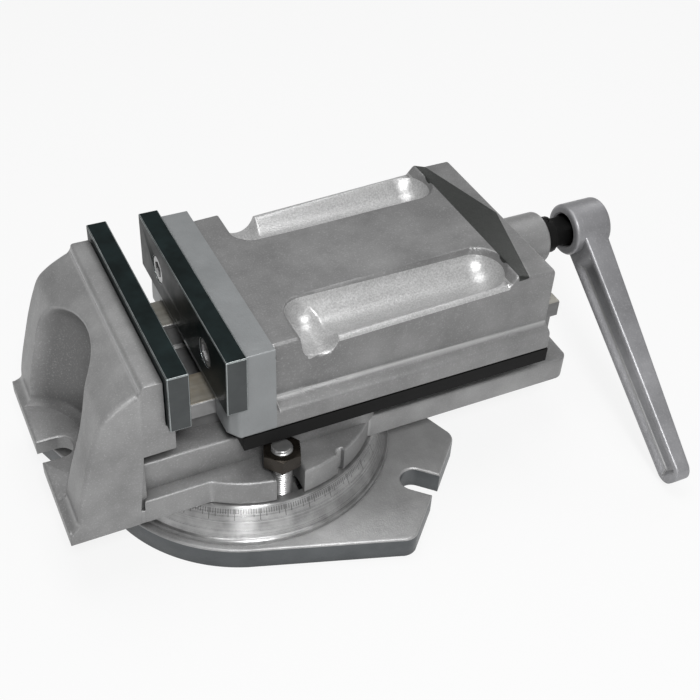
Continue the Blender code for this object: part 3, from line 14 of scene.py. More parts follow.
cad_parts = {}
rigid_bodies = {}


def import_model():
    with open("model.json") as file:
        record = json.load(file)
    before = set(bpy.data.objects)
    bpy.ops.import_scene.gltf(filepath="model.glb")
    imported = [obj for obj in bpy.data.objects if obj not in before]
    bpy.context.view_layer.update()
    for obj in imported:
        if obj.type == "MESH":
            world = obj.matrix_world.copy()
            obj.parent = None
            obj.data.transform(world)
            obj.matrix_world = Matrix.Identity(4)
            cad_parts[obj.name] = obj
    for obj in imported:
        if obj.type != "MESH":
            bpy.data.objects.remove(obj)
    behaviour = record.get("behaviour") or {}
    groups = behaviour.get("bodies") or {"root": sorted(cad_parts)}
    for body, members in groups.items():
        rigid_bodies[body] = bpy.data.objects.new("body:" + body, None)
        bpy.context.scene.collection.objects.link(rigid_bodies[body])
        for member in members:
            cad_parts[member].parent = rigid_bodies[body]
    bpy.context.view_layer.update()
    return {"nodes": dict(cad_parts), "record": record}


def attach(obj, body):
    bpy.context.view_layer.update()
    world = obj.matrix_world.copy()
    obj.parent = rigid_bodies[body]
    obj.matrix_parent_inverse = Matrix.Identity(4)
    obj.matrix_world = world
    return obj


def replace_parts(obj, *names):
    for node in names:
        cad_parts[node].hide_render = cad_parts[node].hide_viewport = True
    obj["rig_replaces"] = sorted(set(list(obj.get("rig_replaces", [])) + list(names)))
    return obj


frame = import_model()
nodes = frame["nodes"]

SCREW_HEIGHT = 0.1255
JAW_TAIL = 0.1876
JAW_TOE = -0.0377
STRIP_FRONT = -0.027
STRIP_REAR = -0.0086
BOLT_CIRCLE = 0.0775


# Numbers and curves shared by the castings


def smooth_step(t):
    """Three t squared minus two t cubed, held between 0 and 1."""
    t = np.clip(t, 0.0, 1.0)
    return t * t * (3.0 - 2.0 * t)


def soft_min(a, b, blend):
    """The smaller of two heights, rounded over by about the blend length where they meet."""
    gap = np.clip(0.5 + 0.5 * (b - a) / blend, 0.0, 1.0)
    return b * (1.0 - gap) + a * gap - blend * gap * (1.0 - gap)


def soft_max(a, b, blend):
    """The larger of two heights, rounded in the same way."""
    return -soft_min(-a, -b, blend)


def edge_drop(distance, radius):
    """Fall of a quarter round: radius less the root of radius squared less (radius - distance) squared."""
    inside = np.clip(radius - distance, 0.0, radius)
    return radius - np.sqrt(radius**2 - inside**2)


def arc_points(centre, radius, start, end, count):
    """Centre plus radius times the cosine and sine of evenly spaced angles, in degrees."""
    turn = np.radians(np.linspace(start, end, count))
    return np.stack(
        [centre[0] + radius * np.cos(turn), centre[1] + radius * np.sin(turn)], axis=1
    )


def spun(points, degrees):
    """Plan points turned about the origin."""
    turn = math.radians(degrees)
    spin = np.array([[math.cos(turn), math.sin(turn)], [-math.sin(turn), math.cos(turn)]])
    return points @ spin


def refined(points, step):
    """A closed outline cut into equal short runs between its corners, each about one step long."""
    pieces = []
    for start, end in zip(points, np.roll(points, -1, axis=0)):
        count = max(1, int(round(np.linalg.norm(end - start) / step)))
        share = np.arange(count)[:, None] / count
        pieces.append(start + (end - start) * share)
    return np.concatenate(pieces)


def curve_through(knots, count):
    """A Catmull-Rom curve: each span is a cubic of its four nearest knots."""
    knots = np.array(knots, float)
    ends = np.concatenate([2 * knots[:1] - knots[1:2], knots, 2 * knots[-1:] - knots[-2:-1]])
    place = np.linspace(0.0, len(knots) - 1.000001, count)
    span = place.astype(int)
    t = (place - span)[:, None]
    p0, p1, p2, p3 = (ends[span + shift] for shift in range(4))
    return 0.5 * (
        2 * p1
        + (p2 - p0) * t
        + (2 * p0 - 5 * p1 + 4 * p2 - p3) * t**2
        + (3 * p1 - p0 - 3 * p2 + p3) * t**3
    )


# Meshes from grids


def edge_wear(points):
    """How convex a grid is at each point: the change of its unit normal per metre, along and across."""
    along = np.gradient(points, axis=0)
    across = (np.roll(points, -1, axis=1) - np.roll(points, 1, axis=1)) / 2
    normal = np.cross(along, across)
    normal /= np.linalg.norm(normal, axis=2, keepdims=True) + 1e-12
    bend_across = np.roll(normal, -1, axis=1) - np.roll(normal, 1, axis=1)
    run_across = 2 * across
    bend_along = np.gradient(normal, axis=0)
    curve_across = (bend_across * run_across).sum(2) / ((run_across**2).sum(2) + 1e-8)
    curve_along = (bend_along * along).sum(2) / ((along**2).sum(2) + 1e-8)
    return np.stack([curve_across, curve_along])


def skin(name, points, sunk=None):
    """A closed skin over a grid of loops: quads between loops, and a flat cap on each end loop.

    points holds rows of loops, each a ring of places in metres. The volume's sign tells
    which way the faces look, and turns them outwards. Where sunk is given, it says how deep
    each point lies in a hollow, from 0 to 1, and the finish paints shade by it.
    """
    rows, columns = points.shape[:2]
    index = np.arange(rows * columns).reshape(rows, columns)
    after = np.roll(index, -1, axis=1)
    quads = np.stack([index[:-1], after[:-1], after[1:], index[1:]], axis=2).reshape(-1, 4)
    flat = points.reshape(-1, 3)
    corner = flat[quads]
    split = np.cross(corner[:, 1] - corner[:, 0], corner[:, 2] - corner[:, 0])
    split = split + np.cross(corner[:, 2] - corner[:, 0], corner[:, 3] - corner[:, 0])
    centre = flat.mean(axis=0)
    volume = ((corner.mean(axis=1) - centre) * split).sum()
    ends = [index[0, ::-1].tolist(), index[-1].tolist()]
    faces = quads.tolist()
    if volume < 0:
        faces = quads[:, ::-1].tolist()
        ends = [end[::-1] for end in ends]
    faces += ends
    curves = edge_wear(points)
    if volume < 0:
        curves = -curves
    wear = np.clip((curves.max(axis=0) - 90.0) / 320.0, 0.0, 1.0)
    mesh = bpy.data.meshes.new(name)
    mesh.from_pydata(flat.tolist(), [], faces)
    worn = mesh.attributes.new("wear", "FLOAT", "POINT")
    worn.data.foreach_set("value", wear.reshape(-1).astype(np.float32))
    if sunk is not None:
        depth = mesh.attributes.new("sunk", "FLOAT", "POINT")
        depth.data.foreach_set("value", sunk.reshape(-1).astype(np.float32))
    made = bpy.data.objects.new(name, mesh)
    bpy.context.scene.collection.objects.link(made)
    return made


def tidy(piece, sharp=38.0):
    """Merges doubled points, shades all but the caps smooth, and keeps creases above an angle."""
    import bmesh

    work = bmesh.new()
    work.from_mesh(piece.data)
    bmesh.ops.remove_doubles(work, verts=work.verts, dist=1e-6)
    bmesh.ops.dissolve_degenerate(work, edges=work.edges, dist=1e-7)
    work.to_mesh(piece.data)
    work.free()
    smooth = [len(face.vertices) < 5 for face in piece.data.polygons]
    piece.data.polygons.foreach_set("use_smooth", smooth)
    piece.data.set_sharp_from_angle(angle=math.radians(sharp))
    return piece


def joined(name, parts):
    """Several closed skins kept in one mesh, for one casting."""
    bpy.ops.object.select_all(action="DESELECT")
    for part in parts:
        part.select_set(True)
    bpy.context.view_layer.objects.active = parts[0]
    bpy.ops.object.join()
    parts[0].name = name
    parts[0].data.name = name
    return parts[0]


def plate(name, outline, low, high, radius, foot_radius=0.0008):
    """A plan outline raised from low to high with quarter-round top and bottom edges.

    Each point steps in along the outline's own normal by radius less radius times the sine
    of the rounding angle, while its height rises by the cosine.
    """
    ahead = np.roll(outline, -1, axis=0) - np.roll(outline, 1, axis=0)
    ahead /= np.linalg.norm(ahead, axis=1, keepdims=True) + 1e-12
    inward = np.stack([-ahead[:, 1], ahead[:, 0]], axis=1)
    turn = np.radians(np.linspace(0.0, 90.0, 6))
    steps = [(foot_radius * (1 - math.sin(a)), low + foot_radius * (1 - math.cos(a))) for a in turn]
    steps += [(radius * (1 - math.cos(a)), high - radius * (1 - math.sin(a))) for a in turn]
    loops = [
        np.column_stack([outline + inward * inset, np.full(len(outline), height)])
        for inset, height in steps
    ]
    return skin(name, np.stack(loops))


def turned(name, profile, centre, axis, count=128):
    """A profile of (along, radius) pairs swept round an axis: radius times cosine and sine."""
    profile = np.array(profile, float)
    turn = np.linspace(0.0, 2 * math.pi, count, endpoint=False)
    along = np.repeat(profile[:, :1], count, axis=1)
    side = profile[:, 1:] * np.cos(turn)
    up = profile[:, 1:] * np.sin(turn)
    if axis == "X":
        grid = np.stack([along, side, up], axis=2)
    else:
        grid = np.stack([side, up, along], axis=2)
    return skin(name, grid + np.array(centre))


# The moving jaw


def jaw_top(x, y):
    """Height of the moving jaw's top.

    The deck rises straight to the ramp and falls along it to the tail. Each trough is a
    round-bottomed channel with a ball end behind and a squarer end in front, its outer rim
    lower than the deck, and an outlet is a level cylinder across the rim.
    """
    side = np.abs(y)
    deck = 0.154 + 0.0045 * (x - STRIP_REAR) / 0.1681
    foot = 0.186 - 0.257 * side
    fall = np.clip((x - 0.1595) / (foot - 0.1595), 0.0, 1.0)
    deck = np.where(x > 0.1595, 0.1585 - 0.003 * fall, deck)
    rim = 0.1467 + 0.0057 * (x - 0.0233) / 0.1302 + np.clip(x - 0.1535, 0.0, 1.0) * 1.1
    lowered = soft_min(deck, rim, 0.0012)
    outer = smooth_step((side - 0.052) / 0.005) * (x > 0.0233)
    cap = deck + (lowered - deck) * outer
    front = np.clip(0.030 - x, 0.0, 1.0)
    rear = np.clip(x - 0.1415, 0.0, 1.0)
    off = np.abs(side - 0.050)
    reach = np.where(x < 0.030, (front**3 + off**3) ** (1 / 3), np.hypot(rear, off))
    bowl = np.sqrt(np.clip(0.0184**2 - reach**2, 0.0, 1.0))
    trough = 0.1595 - bowl + np.clip(reach - 0.0184, 0.0, 1.0) * 3.0
    across = np.hypot(x - 0.0233, np.clip(0.0465 - side, 0.0, 1.0))
    pipe = np.sqrt(np.clip(0.012**2 - across**2, 0.0, 1.0))
    outlet = 0.149 - pipe + np.clip(across - 0.012, 0.0, 1.0) * 6.0
    return soft_min(soft_min(cap, trough, 0.0042), outlet, 0.0040)


def jaw_side(x, z):
    """Half-width of the moving jaw: a slight draft, less a panel sunk behind the strip.

    The panel's depth comes in over a rounded corner, soft along its foot and crisp in front.
    """
    draft = 0.079 - 0.0475 * (z - 0.0985)
    panel = 0.0692 + 0.0023 * (x - STRIP_REAR) / 0.1962
    over = np.clip(0.008 - 3.0 * (x - STRIP_REAR), 0.0, 1.0)
    under = np.clip(0.008 - (z - 0.1085), 0.0, 1.0)
    depth = smooth_step((0.008 - np.hypot(over, under)) / 0.0055)
    return draft - (draft - panel) * depth * (x >= STRIP_REAR)


def moving_jaw_casting():
    """The jaw carried along X: each loop is its section, with top, sides, rail way and hollow."""
    toe = np.linspace(JAW_TOE, STRIP_FRONT, 8)
    strip = np.concatenate([STRIP_FRONT + np.array([0, 0.0003, 0.0007]), np.linspace(-0.025, STRIP_REAR, 8)])
    block = np.concatenate(
        [
            np.linspace(STRIP_REAR, -0.005, 13),
            np.linspace(-0.0042, 0.0095, 9),
            np.linspace(0.0102, 0.040, 42),
            np.linspace(0.0425, 0.136, 34),
            np.linspace(0.1368, 0.1595, 30),
            np.linspace(0.1603, 0.184, 22),
            JAW_TAIL - np.array([0.0015, 0.0011, 0.0007, 0.0004, 0.0002, 0.0]),
        ]
    )
    x = np.concatenate([toe, strip, block])[:, None]
    zone = np.concatenate([np.zeros(len(toe)), np.ones(len(strip)), np.full(len(block), 2)])[:, None]
    round_edge = np.where(zone == 2, 0.0026, 0.0009)
    tail_drop = edge_drop(JAW_TAIL - x, 0.0015)
    front_drop = np.where(zone == 1, edge_drop(x - STRIP_FRONT, 0.0007), 0.0)
    toe_slope = np.clip((JAW_TOE + 0.0058 - x) / 0.0058, 0.0, 1.0)

    share = np.concatenate([np.linspace(0, 0.955, 84, endpoint=False), np.linspace(0.955, 1, 13)])[None]
    flat_top = np.where(zone == 0, 0.1194 - 0.004 * toe_slope, 0.1575)
    edge = np.where(zone == 2, jaw_side(x, 0.145), jaw_side(x, flat_top))
    edge = edge - tail_drop - np.where(zone == 0, 0.008 * toe_slope, 0.0)
    top_y = edge * share
    top_z = np.where(zone == 2, jaw_top(x, top_y), flat_top) - tail_drop - front_drop
    top_z = top_z - edge_drop(edge - top_y, round_edge)

    rows = x.shape[0]
    fall = np.linspace(0, 1, 44)[None, 1:]
    side_z = top_z[:, -1:] + (0.098 - top_z[:, -1:]) * fall
    side_y = jaw_side(x, side_z)
    side_y = np.where(zone == 2, side_y, jaw_side(STRIP_FRONT, side_z)) - tail_drop
    side_y = side_y - np.where(zone == 0, 0.008 * toe_slope, 0.0)
    blend = np.clip((top_z[:, -1:] - side_z) / 0.004, 0.0, 1.0)
    side_y = np.minimum(side_y, edge * (1 - blend) + 1.0 * blend)

    turn = np.radians(np.linspace(0, 90, 5))[None, 1:]
    curl_y = side_y[:, -1:] - 0.0015 * (1 - np.cos(turn))
    curl_z = 0.098 - 0.0015 * np.sin(turn)
    curl_z = np.repeat(curl_z, rows, axis=0)

    ceiling = np.where((x > -0.008) & (x < 0.160), 0.1455, 0.1088)
    inner = [(0.066, 0.0965), (0.0526, 0.0965), (0.0526, 0.1088), (0.040, 0.1088), (0.030, 0.1088)]
    inner_y = np.repeat(np.array([p[0] for p in inner] + [0.030, 0.0])[None], rows, axis=0)
    inner_z = np.repeat(np.array([p[1] for p in inner] + [0, 0])[None], rows, axis=0)
    inner_z[:, -2:] = ceiling
    half_y = np.concatenate([top_y, side_y, curl_y, inner_y], axis=1)
    half_z = np.concatenate([top_z, side_z, curl_z, inner_z], axis=1)
    y = np.concatenate([half_y, -half_y[:, -2:0:-1]], axis=1)
    z = np.concatenate([half_z, half_z[:, -2:0:-1]], axis=1)
    return tidy(skin("moving_jaw_casting", np.stack([np.repeat(x, y.shape[1], 1), y, z], 2)), 50.0)


def screw_boss():
    """The boss on the jaw's tail: a turned barrel that flares into the tail with a round."""
    turn = np.radians(np.linspace(0, 90, 10))
    flare = [(JAW_TAIL + 0.0095 * (1 - math.sin(a)), 0.0183 + 0.0095 * (1 - math.cos(a))) for a in turn]
    flare = flare[::-1]
    nose = [(0.2245 - 0.0025 * (1 - math.sin(a)), 0.0158 + 0.0025 * math.cos(a)) for a in turn]
    profile = [(0.1815, 0.0), (0.1815, 0.0278)] + flare + nose + [(0.2245, 0.0112), (0.2215, 0.0112), (0.2215, 0.0)]
    return tidy(turned("screw_boss", profile, (0, 0, SCREW_HEIGHT), "X"))


# The body: fixed jaw, flange, flanks and rails


def fixed_jaw_casting():
    """The fixed jaw carried along Y: its section is pushed in by the hollow at its back.

    The hollow is an ellipse in plan whose width follows a dome above and a slow taper below.
    Near both ends the section steps in along its normals by a quarter round.
    """
    back = curve_through(
        [
            (-0.1334, 0.0525),
            (-0.1324, 0.0640),
            (-0.1296, 0.0777),
            (-0.1256, 0.0935),
            (-0.1216, 0.1086),
            (-0.1168, 0.1235),
            (-0.1120, 0.1345),
            (-0.1050, 0.1410),
            (-0.0968, 0.1458),
            (-0.0892, 0.1494),
        ],
        88,
    )
    front = np.array(
        [
            (-0.0885, 0.1503),
            (-0.0882, 0.1522),
            (-0.0874, 0.1532),
            (-0.0860, 0.1535),
            (-0.0800, 0.1535),
            (-0.0760, 0.1535),
            (-0.0755, 0.1530),
            (-0.0755, 0.1197),
            (-0.0704, 0.1197),
            (-0.0700, 0.1193),
            (-0.0700, 0.1000),
            (-0.0706, 0.0992),
            (-0.0900, 0.0990),
            (-0.0900, 0.0430),
            (-0.0905, 0.0423),
            (-0.1334, 0.0423),
        ]
    )
    section = np.concatenate([back, front])
    ends = 0.0735 - np.array([0.0, 0.0003, 0.0007, 0.0012, 0.0018, 0.0025, 0.0035])
    middle = np.linspace(-0.0695, 0.0695, 210)
    y = np.concatenate([-ends, middle, ends[::-1]])[:, None]
    ahead = np.roll(section, -1, axis=0) - np.roll(section, 1, axis=0)
    ahead /= np.linalg.norm(ahead, axis=1, keepdims=True)
    cast = np.concatenate([np.ones(84), np.linspace(1.0, 0.1, 4), np.full(len(front), 0.1)])
    inset = edge_drop(0.0735 - np.abs(y), 0.0035) * cast
    x = section[None, :, 0] + inset * ahead[None, :, 1]
    z = section[None, :, 1] - inset * ahead[None, :, 0]

    high = np.maximum(z, 0.053)
    over = np.clip((high - 0.1075) / 0.0450, 0.0, 0.9999)
    width = np.where(high > 0.1075, 0.0500 * np.sqrt(1 - over**2), 0.0500 - 0.10 * (0.1075 - high))
    centre = -0.136 + 0.016 * (high - 0.053) / 0.0975
    wall = centre + 0.72 * np.sqrt(np.clip(width**2 - y**2, 0.0, 1.0))
    wall = wall - np.clip(np.abs(y) - width, 0.0, 1.0) * 2.0
    foot = edge_drop(high - 0.053, 0.006)
    pushed = soft_max(x, wall, 0.005) - foot
    scooped = (x < -0.0900) & (z < 0.1490)
    # How deep each point lies in the scoop; the finish paints shade by it.
    sunk = smooth_step(np.where(scooped, (pushed - x) / 0.012, 0.0))
    x = np.where(scooped, pushed, x)
    points = np.stack([x, np.repeat(y, x.shape[1], 1), z], axis=2)
    return tidy(skin("fixed_jaw_casting", points, sunk), 50.0)


def slotted_foot():
    """The foot's low pad in plan, with its open slot, raised as a rounded plate."""
    half = 0.0733
    outline = np.concatenate(
        [
            [(-0.1395, -half), (-0.092, -half), (-0.092, half), (-0.1395, half)],
            [(-0.1395, 0.009)],
            arc_points((-0.1265, 0.0), 0.009, 90, -90, 24),
            [(-0.1395, -0.009)],
        ]
    )
    return tidy(plate("foot_pad", refined(outline, 0.002), 0.0423, 0.053, 0.0016))


def stud_slot(side):
    """One open slot in the flange, in plan, from mouth to round end and back."""
    end = arc_points((BOLT_CIRCLE, 0.0), 0.0094, -90, -270, 20)
    return spun(end, side * 90 - 1.8)


def swivel_flange():
    """The flange in plan: square front, round seat with two stud slots, and a long tail.

    A small hollow in the near rim is the window at which the degree marks are read.
    """
    join = math.degrees(math.acos(0.0735 / 0.089))
    tail = math.degrees(math.acos(0.060 / 0.089))
    mouth = math.degrees(math.asin(0.0094 / 0.089))
    low = [(-0.0925, -0.0735)]
    near = np.concatenate(
        [
            low,
            arc_points((0, 0), 0.089, -90 - join, -91.8 - mouth, 16),
            stud_slot(-1),
            arc_points((0, 0), 0.089, -91.8 + mouth, -68.6, 10),
            spun(np.array([(0.0862, -0.0030), (0.0850, 0.0), (0.0862, 0.0030)]), -66.7),
            arc_points((0, 0), 0.089, -64.8, -90 + tail, 10),
            [(0.2135, -0.060)],
            arc_points((0.2165, -0.0515), 0.0085, -84, -20, 8),
            [(0.225, -0.030), (0.225, -0.009)],
        ]
    )
    far = np.concatenate(
        [
            [(0.225, 0.030)],
            arc_points((0.2165, 0.0515), 0.0085, 20, 84, 8),
            [(0.2135, 0.060)],
            arc_points((0, 0), 0.089, 90 - tail, 88.2 - mouth, 20),
            stud_slot(1),
            arc_points((0, 0), 0.089, 88.2 + mouth, 90 + join, 16),
            [(-0.0925, 0.0735)],
        ]
    )
    notch = arc_points((0.2185, 0.0), 0.009, 270, 90, 22)
    outline = np.concatenate([near, notch, [(0.225, 0.009)], far])
    return tidy(plate("swivel_flange", refined(outline, 0.0022), 0.0423, 0.0607, 0.0018))


def flank_blocks():
    """The raised flanks in plan: parallel sides that sweep in to the web behind the swivel."""
    side = np.concatenate(
        [
            [(-0.0915, -0.0640), (0.052, -0.0640)],
            arc_points((0.056, -0.044), 0.020, -90, -8, 14),
            [(0.078, -0.040)],
        ]
    )
    outline = np.concatenate([side, side[::-1] * np.array([1, -1])])
    return tidy(plate("flanks", refined(outline, 0.003), 0.0595, 0.0825, 0.0022))


def screw_rails():
    """The rails carried along X: a channel section with small rounds on its ground edges."""
    half = np.array(
        [
            (-0.0455, 0.0600),
            (-0.0455, 0.0940),
            (-0.0465, 0.0965),
            (-0.0514, 0.0965),
            (-0.0520, 0.0971),
            (-0.0520, 0.1077),
            (-0.0512, 0.1085),
            (-0.0257, 0.1085),
            (-0.0250, 0.1078),
            (-0.0250, 0.0905),
            (-0.0230, 0.0885),
        ]
    )
    loop = np.concatenate([half, half[::-1] * np.array([-1, 1])])
    x = np.concatenate([[-0.0895, -0.08], np.linspace(-0.06, 0.2, 40), [0.2122, 0.2130]])
    inset = edge_drop(0.2130 - x, 0.0008)[:, None]
    y = loop[None, :, 0] * (1 - inset / 0.05)
    z = loop[None, :, 1] - inset * 0.2
    grid = np.stack([np.repeat(x[:, None], y.shape[1], 1), y, z * np.ones_like(y)], axis=2)
    return tidy(skin("screw_rails", grid), 30.0)


# The swivel base


def base_plate_casting():
    """The base in plan: a disc with two slotted lugs, raised with rounded edges."""
    reach = math.hypot(0.140, 0.054)
    touch = math.degrees(math.atan2(0.054, 0.140) + math.acos(0.106 / reach))
    lug = np.concatenate(
        [
            arc_points((0.1295, -0.0435), 0.0105, -72, -10, 7),
            [(0.140, -0.0095)],
            arc_points((0.1245, 0.0), 0.0095, 270, 90, 20),
            [(0.140, 0.0095)],
            arc_points((0.1295, 0.0435), 0.0105, 10, 72, 7),
        ]
    )
    round_side = arc_points((0, 0), 0.106, touch, 180 - touch, 48)
    outline = np.concatenate([lug, round_side, -lug, -round_side])
    outline = spun(outline, -44)
    return tidy(plate("base_plate_casting", refined(outline, 0.0025), 0.0, 0.0175, 0.0016, 0.0012))


def graduated_ring():
    """The turned ring: a flared wall on a step, with a T-groove sunk in its flat top."""
    profile = [
        (0.0100, 0.0),
        (0.0100, 0.1015),
        (0.0203, 0.1015),
        (0.0210, 0.1008),
        (0.0210, 0.1000),
        (0.0214, 0.0992),
        (0.0228, 0.0987),
        (0.0245, 0.0981),
        (0.0290, 0.0963),
        (0.0350, 0.0939),
        (0.0412, 0.0914),
        (0.0420, 0.0905),
        (0.0420, 0.0852),
        (0.0315, 0.0852),
        (0.0315, 0.0888),
        (0.0225, 0.0888),
        (0.0225, 0.0662),
        (0.0315, 0.0662),
        (0.0315, 0.0698),
        (0.0420, 0.0698),
        (0.0420, 0.0),
    ]
    return tidy(turned("graduated_ring", profile, (0, 0, 0), "Z", 256), 30.0)


# Threads, studs and the lead screw


def thread_depth(along, turn, pitch, depth):
    """Depth of a rounded V thread: a triangle wave of height over pitch less the turn's share."""
    phase = along / pitch - turn / (2 * math.pi)
    wave = np.abs((phase % 1.0) - 0.5) * 2.0
    return depth * smooth_step(wave)


def t_bolt(side, place):
    """A T-bolt: a stud whose radius follows its thread, over a flat head in the groove."""
    turn = np.linspace(0, 2 * math.pi, 48, endpoint=False)[None]
    z = np.concatenate([[0.0292, 0.0300], np.linspace(0.0385, 0.0777, 210), [0.0784, 0.0790]])[:, None]
    crest = 0.0070 - np.clip(z - 0.0775, 0.0, 1.0) * 0.9
    cut = thread_depth(z, turn, 0.002, 0.0009) * (z > 0.039) * (z < 0.0786)
    radius = crest - cut
    x, y = place
    stud = skin(
        "stud",
        np.stack([x + radius * np.cos(turn), y + radius * np.sin(turn), z * np.ones_like(turn)], 2),
    )
    corners = np.array([(-0.013, -0.011), (0.013, -0.011), (0.013, 0.011), (-0.013, 0.011)])
    corners = spun(corners, -3.3) + np.array(place)
    head = plate("t_head", refined(corners, 0.004), 0.0225, 0.0310, 0.0008)
    return tidy(joined("t_bolt_" + side, [stud, head]), 35.0)


def lead_screw_turning():
    """The screw along X: threaded length, shoulder, journal and a square drive end.

    The thread is a trapezoid wave of length over lead less the turn's share; the drive's
    radius is half the flats over the larger of the angle's cosine and sine, held by a round.
    """
    turn = np.linspace(0, 2 * math.pi, 64, endpoint=False)[None]
    thread = np.linspace(-0.0066, 0.1510, 300)
    parts = [
        (np.array([-0.0074, -0.0070]), 0.0102),
        (thread, 0.0118),
        (np.array([0.1516, 0.1518]), 0.0118),
        (np.array([0.1519, 0.1522, 0.1562, 0.1565]), 0.0168),
        (np.array([0.1566, 0.2240, 0.2340]), 0.0104),
    ]
    rows = []
    for x, size in parts:
        along = x[:, None]
        radius = np.full_like(along, size) * np.ones_like(turn)
        if len(x) == 300:
            phase = (along / 0.005 - turn / (2 * math.pi)) % 1.0
            wave = np.clip((np.abs(phase - 0.5) - 0.16) / 0.12, 0.0, 1.0)
            radius = radius - 0.0022 * smooth_step(wave)
        rows.append(np.stack([along * np.ones_like(turn), radius * np.cos(turn), radius * np.sin(turn)], 2))
    flat = 0.00825 / np.maximum(np.abs(np.cos(turn)), np.abs(np.sin(turn)))
    for along, size in ((0.2341, 1.0), (0.2702, 1.0), (0.2714, 0.93), (0.2720, 0.84)):
        radius = np.minimum(flat, 0.0104) * size
        rows.append(np.stack([np.full_like(turn, along), radius * np.cos(turn), radius * np.sin(turn)], 2))
    grid = np.concatenate(rows) + np.array([0, 0, SCREW_HEIGHT])
    return tidy(skin("lead_screw_turning", grid), 32.0)


# The crank


def crank_lever():
    """The lever from hub to tip, with a long flute pressed into each face.

    Half the thickness is a flat face less an edge round and less the flute, whose depth
    grows with the distance inside its rounded outline. The tip is a half round.
    """
    length = 0.194
    start = 0.1842
    tip = np.radians(np.linspace(0, 90, 14))[1:]
    along = np.concatenate([np.linspace(0, start, 74), start + 0.0090 * np.sin(tip)])[:, None]
    half = 0.0138 - 0.0022 * along / length
    past = np.clip(along - start, 0, 1) / 0.00902
    half = half - 0.0085 * (1 - np.sqrt(1 - past**2))
    thick = 0.0100 - 0.0040 * along / length
    share = np.sin(np.radians(np.linspace(-90, 90, 49)))[None]
    across = half * share
    to_side = half - np.abs(across) - 0.0024
    to_tip = 0.1885 - along
    to_root = along - 0.0245
    inside = np.minimum(np.minimum(to_side, to_tip), to_root)
    flute = 0.0042 * smooth_step(inside / 0.0055)
    face = thick - edge_drop(half - np.abs(across), 0.0022) - flute
    face = np.maximum(face, 0.0004)
    mid = 0.262 + 0.0 * along
    x = np.concatenate([mid + face, (mid - face)[:, ::-1]], axis=1)
    v = np.concatenate([across, across[:, ::-1]], axis=1)
    t = np.repeat(along, v.shape[1], 1)
    turn = math.radians(36.5)
    y = -t * math.cos(turn) + v * math.sin(turn)
    z = SCREW_HEIGHT - t * math.sin(turn) - v * math.cos(turn)
    return skin("crank_lever", np.stack([x, y, z], axis=2))


def crank_hub():
    """The hub: a turned barrel with rounded rims and a blind socket for the drive."""
    turn = np.radians(np.linspace(0, 90, 8))
    front = [(0.246 + 0.0026 * (1 - math.cos(a)), 0.0159 + 0.0026 * math.sin(a)) for a in turn]
    rear = [(0.2759 - 0.0034 * (1 - math.sin(a)), 0.0151 + 0.0034 * math.cos(a)) for a in turn]
    profile = [(0.2725, 0.0), (0.2725, 0.0122), (0.2470, 0.0122), (0.2460, 0.0132)]
    profile += front + rear + [(0.2760, 0.0080), (0.2760, 0.0)]
    return turned("crank_hub", profile, (0, 0, SCREW_HEIGHT), "X", 96)


# Carried-over shapes, merged and softly beveled


def softened(node, width=0.0005, sharp=30.0, edge=None):
    """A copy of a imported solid: doubles merged, flat faces rejoined, small rounds on its edges.

    Where an edge finish is given, the rounds wear it as the piece's second finish.
    """
    import bmesh

    copy = bpy.data.objects.new(node + "_finished", nodes[node].data.copy())
    bpy.context.scene.collection.objects.link(copy)
    work = bmesh.new()
    work.from_mesh(copy.data)
    bmesh.ops.remove_doubles(work, verts=work.verts, dist=1e-6)
    bmesh.ops.dissolve_limit(
        work, angle_limit=math.radians(1.0), verts=work.verts, edges=work.edges
    )
    work.to_mesh(copy.data)
    work.free()
    copy.data.polygons.foreach_set("use_smooth", [True] * len(copy.data.polygons))
    copy.data.set_sharp_from_angle(angle=math.radians(sharp))
    if width > 0:
        rounding = copy.modifiers.new("edge_round", "BEVEL")
        rounding.width = width
        rounding.segments = 2
        rounding.limit_method = "ANGLE"
        rounding.angle_limit = math.radians(sharp)
        rounding.harden_normals = True
        if edge is not None:
            rounding.material = 1
            copy["edge_finish"] = edge.name
    return copy


# Finishes


def new_finish(name):
    finish = bpy.data.materials.new(name)
    finish.use_nodes = True
    tree = finish.node_tree
    shader = tree.nodes["Principled BSDF"]
    where = tree.nodes.new("ShaderNodeTexCoord")
    return finish, tree, shader, where


def maths(tree, kind, a, b=None, clamp=False):
    node = tree.nodes.new("ShaderNodeMath")
    node.operation = kind
    node.use_clamp = clamp
    for socket, value in zip(node.inputs, (a, b)):
        if value is None:
            continue
        if isinstance(value, (int, float)):
            socket.default_value = value
        else:
            tree.links.new(value, socket)
    return node.outputs[0]


def noise(tree, where, scale, detail=4.0, rough=0.55):
    node = tree.nodes.new("ShaderNodeTexNoise")
    node.inputs["Scale"].default_value = scale
    node.inputs["Detail"].default_value = detail
    node.inputs["Roughness"].default_value = rough
    tree.links.new(where, node.inputs["Vector"])
    return node.outputs["Fac"]


def ramp(tree, factor, low, high, low_colour, high_colour):
    node = tree.nodes.new("ShaderNodeValToRGB")
    node.color_ramp.elements[0].position = low
    node.color_ramp.elements[1].position = high
    node.color_ramp.elements[0].color = (*low_colour, 1)
    node.color_ramp.elements[1].color = (*high_colour, 1)
    tree.links.new(factor, node.inputs["Fac"])
    return node.outputs["Color"]


def blended(tree, factor, first, second):
    node = tree.nodes.new("ShaderNodeMix")
    node.data_type = "RGBA"
    tree.links.new(factor, node.inputs[0])
    for socket, value in ((node.inputs[6], first), (node.inputs[7], second)):
        if isinstance(value, tuple):
            socket.default_value = (*value, 1)
        else:
            tree.links.new(value, socket)
    return node.outputs[2]


def multiplied(tree, first, second):
    node = tree.nodes.new("ShaderNodeMix")
    node.data_type = "RGBA"
    node.blend_type = "MULTIPLY"
    node.inputs[0].default_value = 1.0
    tree.links.new(first, node.inputs[6])
    tree.links.new(second, node.inputs[7])
    return node.outputs[2]


